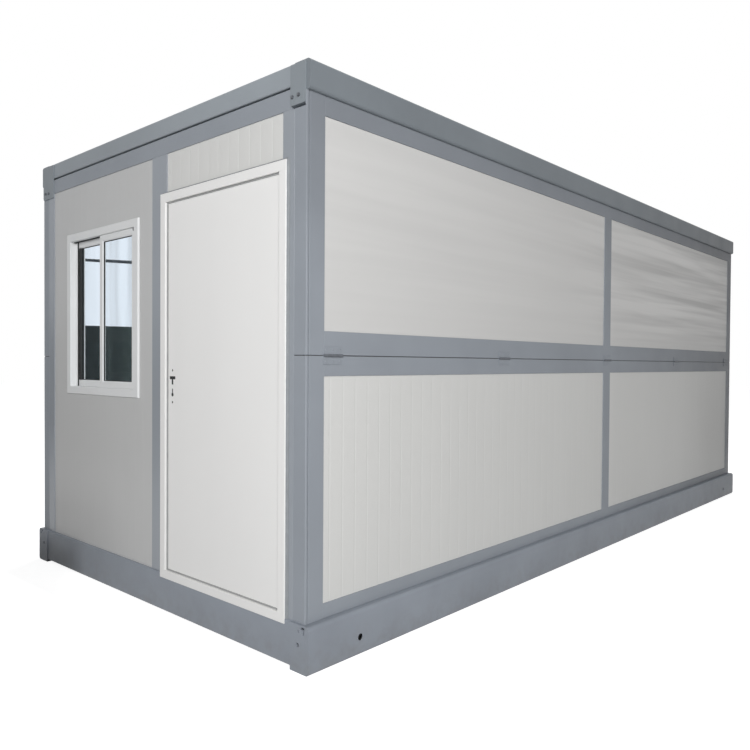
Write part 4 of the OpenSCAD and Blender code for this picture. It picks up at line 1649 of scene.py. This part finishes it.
@dataclass
class Studio:
    """The pale floor, the soft lights and the camera."""

    lens: float = 34.185
    sensor: float = 36.0
    eye: Point = (3.39136, -4.78793, 1.27057)
    yaw: float = 0.73697
    pitch: float = -0.01632
    roll: float = 0.00628
    sight: Span = (0.05, 200.0)
    floor_half: float = 40.0
    sky: float = 0.19
    floor_shade: float = 0.55
    floor_glow: float = 0.90
    under: Span = (1.25, 2.82)
    lamps: tuple[Lamp, ...] = (
        Lamp("key light", (6.4, -7.6, 3.4), (0.8, -1.5, 1.2), 2.8, 482.0),
        Lamp("rear light", (-7.0, 8.0, 4.2), (0.0, 0.5, 1.2), 2.8, 480.0),
        Lamp("top light", (0.0, 0.0, 9.0), (0.0, 0.0, 2.5), 2.2, 260.0))
    card_y: float = -5.0
    card_x: Span = (-8.5, -3.2)
    cards: tuple[Card, ...] = (
        Card("dark card", (0.01, 0.01), (1.868, 1.627), 0.0, (0.012, 0.013, 0.014),
             (0.050, 0.066, 0.062), 0.45),
        Card("dark bar", (2.904, 2.275), (2.940, 2.311), 0.0, (0.05, 0.055, 0.06),
             (0.05, 0.055, 0.06)),
        Card("pale card", (1.4, 1.4), (4.0, 4.0), 0.1, (1.02, 1.06, 1.12), (1.02, 1.06, 1.12),
             0.16))
    seen_x: Span = (-5.6, -4.1)
    streak_size: float = 1 / 7
    streak_length: float = 0.06
    streak_edges: Span = (0.35, 0.65)
    black: Colour = (0.01, 0.01, 0.01)
    flags: tuple[tuple[str, Point, Point], ...] = (
        ("side flag", (1.95, 2.0, 0.02), (1.95, 6.0, 1.15)),
        ("front flag", (-2.2, -3.15, 0.02), (-0.35, -3.15, 0.36)))

    def camera(self) -> None:
        """Sets the camera up from its place and its three angles."""
        data = bpy.data.cameras.new("camera")
        data.lens, data.sensor_width = self.lens, self.sensor
        data.clip_start, data.clip_end = self.sight
        cam = bpy.data.objects.new("camera", data)
        bpy.context.scene.collection.objects.link(cam)
        ahead = Vector((-math.sin(self.yaw) * math.cos(self.pitch),
                        math.cos(self.yaw) * math.cos(self.pitch), math.sin(self.pitch)))
        beside = Vector((math.cos(self.yaw), math.sin(self.yaw), 0.0))
        above = beside.cross(ahead)
        right = beside * math.cos(self.roll) + above * math.sin(self.roll)
        up = above * math.cos(self.roll) - beside * math.sin(self.roll)
        turn = Matrix((right, up, -ahead)).transposed().to_4x4()
        cam.matrix_world = Matrix.Translation(self.eye) @ turn
        bpy.context.scene.camera = cam

    def world(self) -> None:
        """A white world for what is seen, and a softer one for what it lights."""
        world = bpy.data.worlds.new("studio")
        bpy.context.scene.world = world
        world.use_nodes = True
        world.node_tree.nodes.clear()
        nodes = Nodes(world.node_tree)
        mix = nodes.add("MixShader", Fac=self.straight(nodes))
        for i, strength in ((1, self.sky), (2, 1.0)):
            light = nodes.add("Background", Color=(1, 1, 1), Strength=strength)
            nodes.fill(mix.inputs[i], light.outputs["Background"])
        nodes.add("OutputWorld", Surface=mix.outputs["Shader"])

    @staticmethod
    def straight(nodes: Nodes) -> Socket:
        """1 where the surface is seen directly, in a mirror or through glass, and 0 elsewhere."""
        path = nodes.add("LightPath").outputs
        mirror = nodes.math("MAXIMUM", path["Is Camera Ray"], path["Is Glossy Ray"])
        return nodes.math("MAXIMUM", mirror, path["Is Transmission Ray"])

    @staticmethod
    def board(name: str, corners: list[Point]) -> tuple[bpy.types.Object, Nodes]:
        """A flat four-cornered board in the studio.

        Args:
            name: its name.
            corners: its corners in order.

        Returns:
            The board, and the empty nodes of its own material.
        """
        mesh = bpy.data.meshes.new(name)
        mesh.from_pydata(corners, [], [(0, 1, 2, 3)])
        board = bpy.data.objects.new(name, mesh)
        bpy.context.scene.collection.objects.link(board)
        paper = bpy.data.materials.new(name)
        paper.use_nodes = True
        paper.node_tree.nodes.clear()
        mesh.materials.append(paper)
        return board, Nodes(paper.node_tree)

    def floor(self) -> None:
        """A wide plain floor, just under the base beams."""
        h = self.floor_half
        _, nodes = self.board("floor", [(-h, -h, 0), (h, -h, 0), (h, h, 0), (-h, h, 0)])
        shade = nodes.add("BsdfDiffuse", Color=(self.floor_shade,) * 3)
        seen = nodes.math("MULTIPLY", self.straight(nodes), self.floor_glow)
        glow = nodes.add("Emission", Strength=nodes.math("MULTIPLY", seen, self.outside(nodes)))
        both = nodes.add("AddShader")
        nodes.fill(both.inputs[0], shade.outputs["BSDF"])
        nodes.fill(both.inputs[1], glow.outputs["Emission"])
        nodes.add("OutputMaterial", Surface=both.outputs["Shader"])

    def outside(self, nodes: Nodes) -> Socket:
        """0 on the floor under the house and 1 everywhere else."""
        past = [nodes.math("GREATER_THAN", nodes.math("ABSOLUTE", nodes.part(axis)), half)
                for axis, half in zip("XY", self.under)]
        return nodes.math("MAXIMUM", *past)

    def hang(self, card: Card) -> None:
        """Hangs a card with its two colours and its streaks."""
        (x0, x1), y = self.card_x, self.card_y - card.shift
        (low0, low1), (high0, high1) = card.low, card.high
        board, nodes = self.board(card.name, [(x0, y, low0), (x1, y, low1), (x1, y, high1),
                                              (x0, y, high0)])
        across = nodes.spread(nodes.part("X"), self.seen_x)
        wave = nodes.noise(self.streak_size, 2.0, (1, 1, self.streak_length))
        bright = nodes.spread(wave, self.streak_edges,
                              (1 - card.streaks, 1 + card.streaks / 3))
        glow = nodes.add("Emission", Color=nodes.blend(across, card.left, card.right),
                         Strength=bright)
        nodes.add("OutputMaterial", Surface=glow.outputs["Emission"])
        board.visible_camera = board.visible_diffuse = board.visible_shadow = False
        board.visible_transmission = board.visible_volume_scatter = False

    def flag(self, name: str, foot: Point, top: Point) -> None:
        """A black board that stands upright and only takes soft light away.

        Args:
            name: its name.
            foot: the corner at one end of its foot.
            top: the corner at the other end of its top.
        """
        (x0, y0, z0), (x1, y1, z1) = foot, top
        flag, nodes = self.board(name, [(x0, y0, z0), (x1, y1, z0), (x1, y1, z1), (x0, y0, z1)])
        cloth = nodes.add("BsdfPrincipled", Base_Color=self.black, Roughness=1.0)
        nodes.add("OutputMaterial", Surface=cloth.outputs["BSDF"])
        flag.visible_camera = flag.visible_glossy = flag.visible_transmission = False

    def build(self) -> None:
        """Makes the whole studio."""
        bpy.context.scene.view_settings.view_transform = "Standard"
        self.camera()
        self.world()
        self.floor()
        for card in self.cards:
            self.hang(card)
        for flag in self.flags:
            self.flag(*flag)
        for lamp in self.lamps:
            lamp.build()


def main() -> None:
    """Builds the studio, and the house piece by piece."""
    logging.basicConfig(level=logging.INFO, format="%(name)s: %(message)s")
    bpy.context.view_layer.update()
    Studio().build()
    for part in (SteelFrame(), WallPanels(), FoldHinges(), Frames(), Roof(), Floor(), Window(),
                 Door()):
        part.build()


if __name__ == "__main__":
    main()
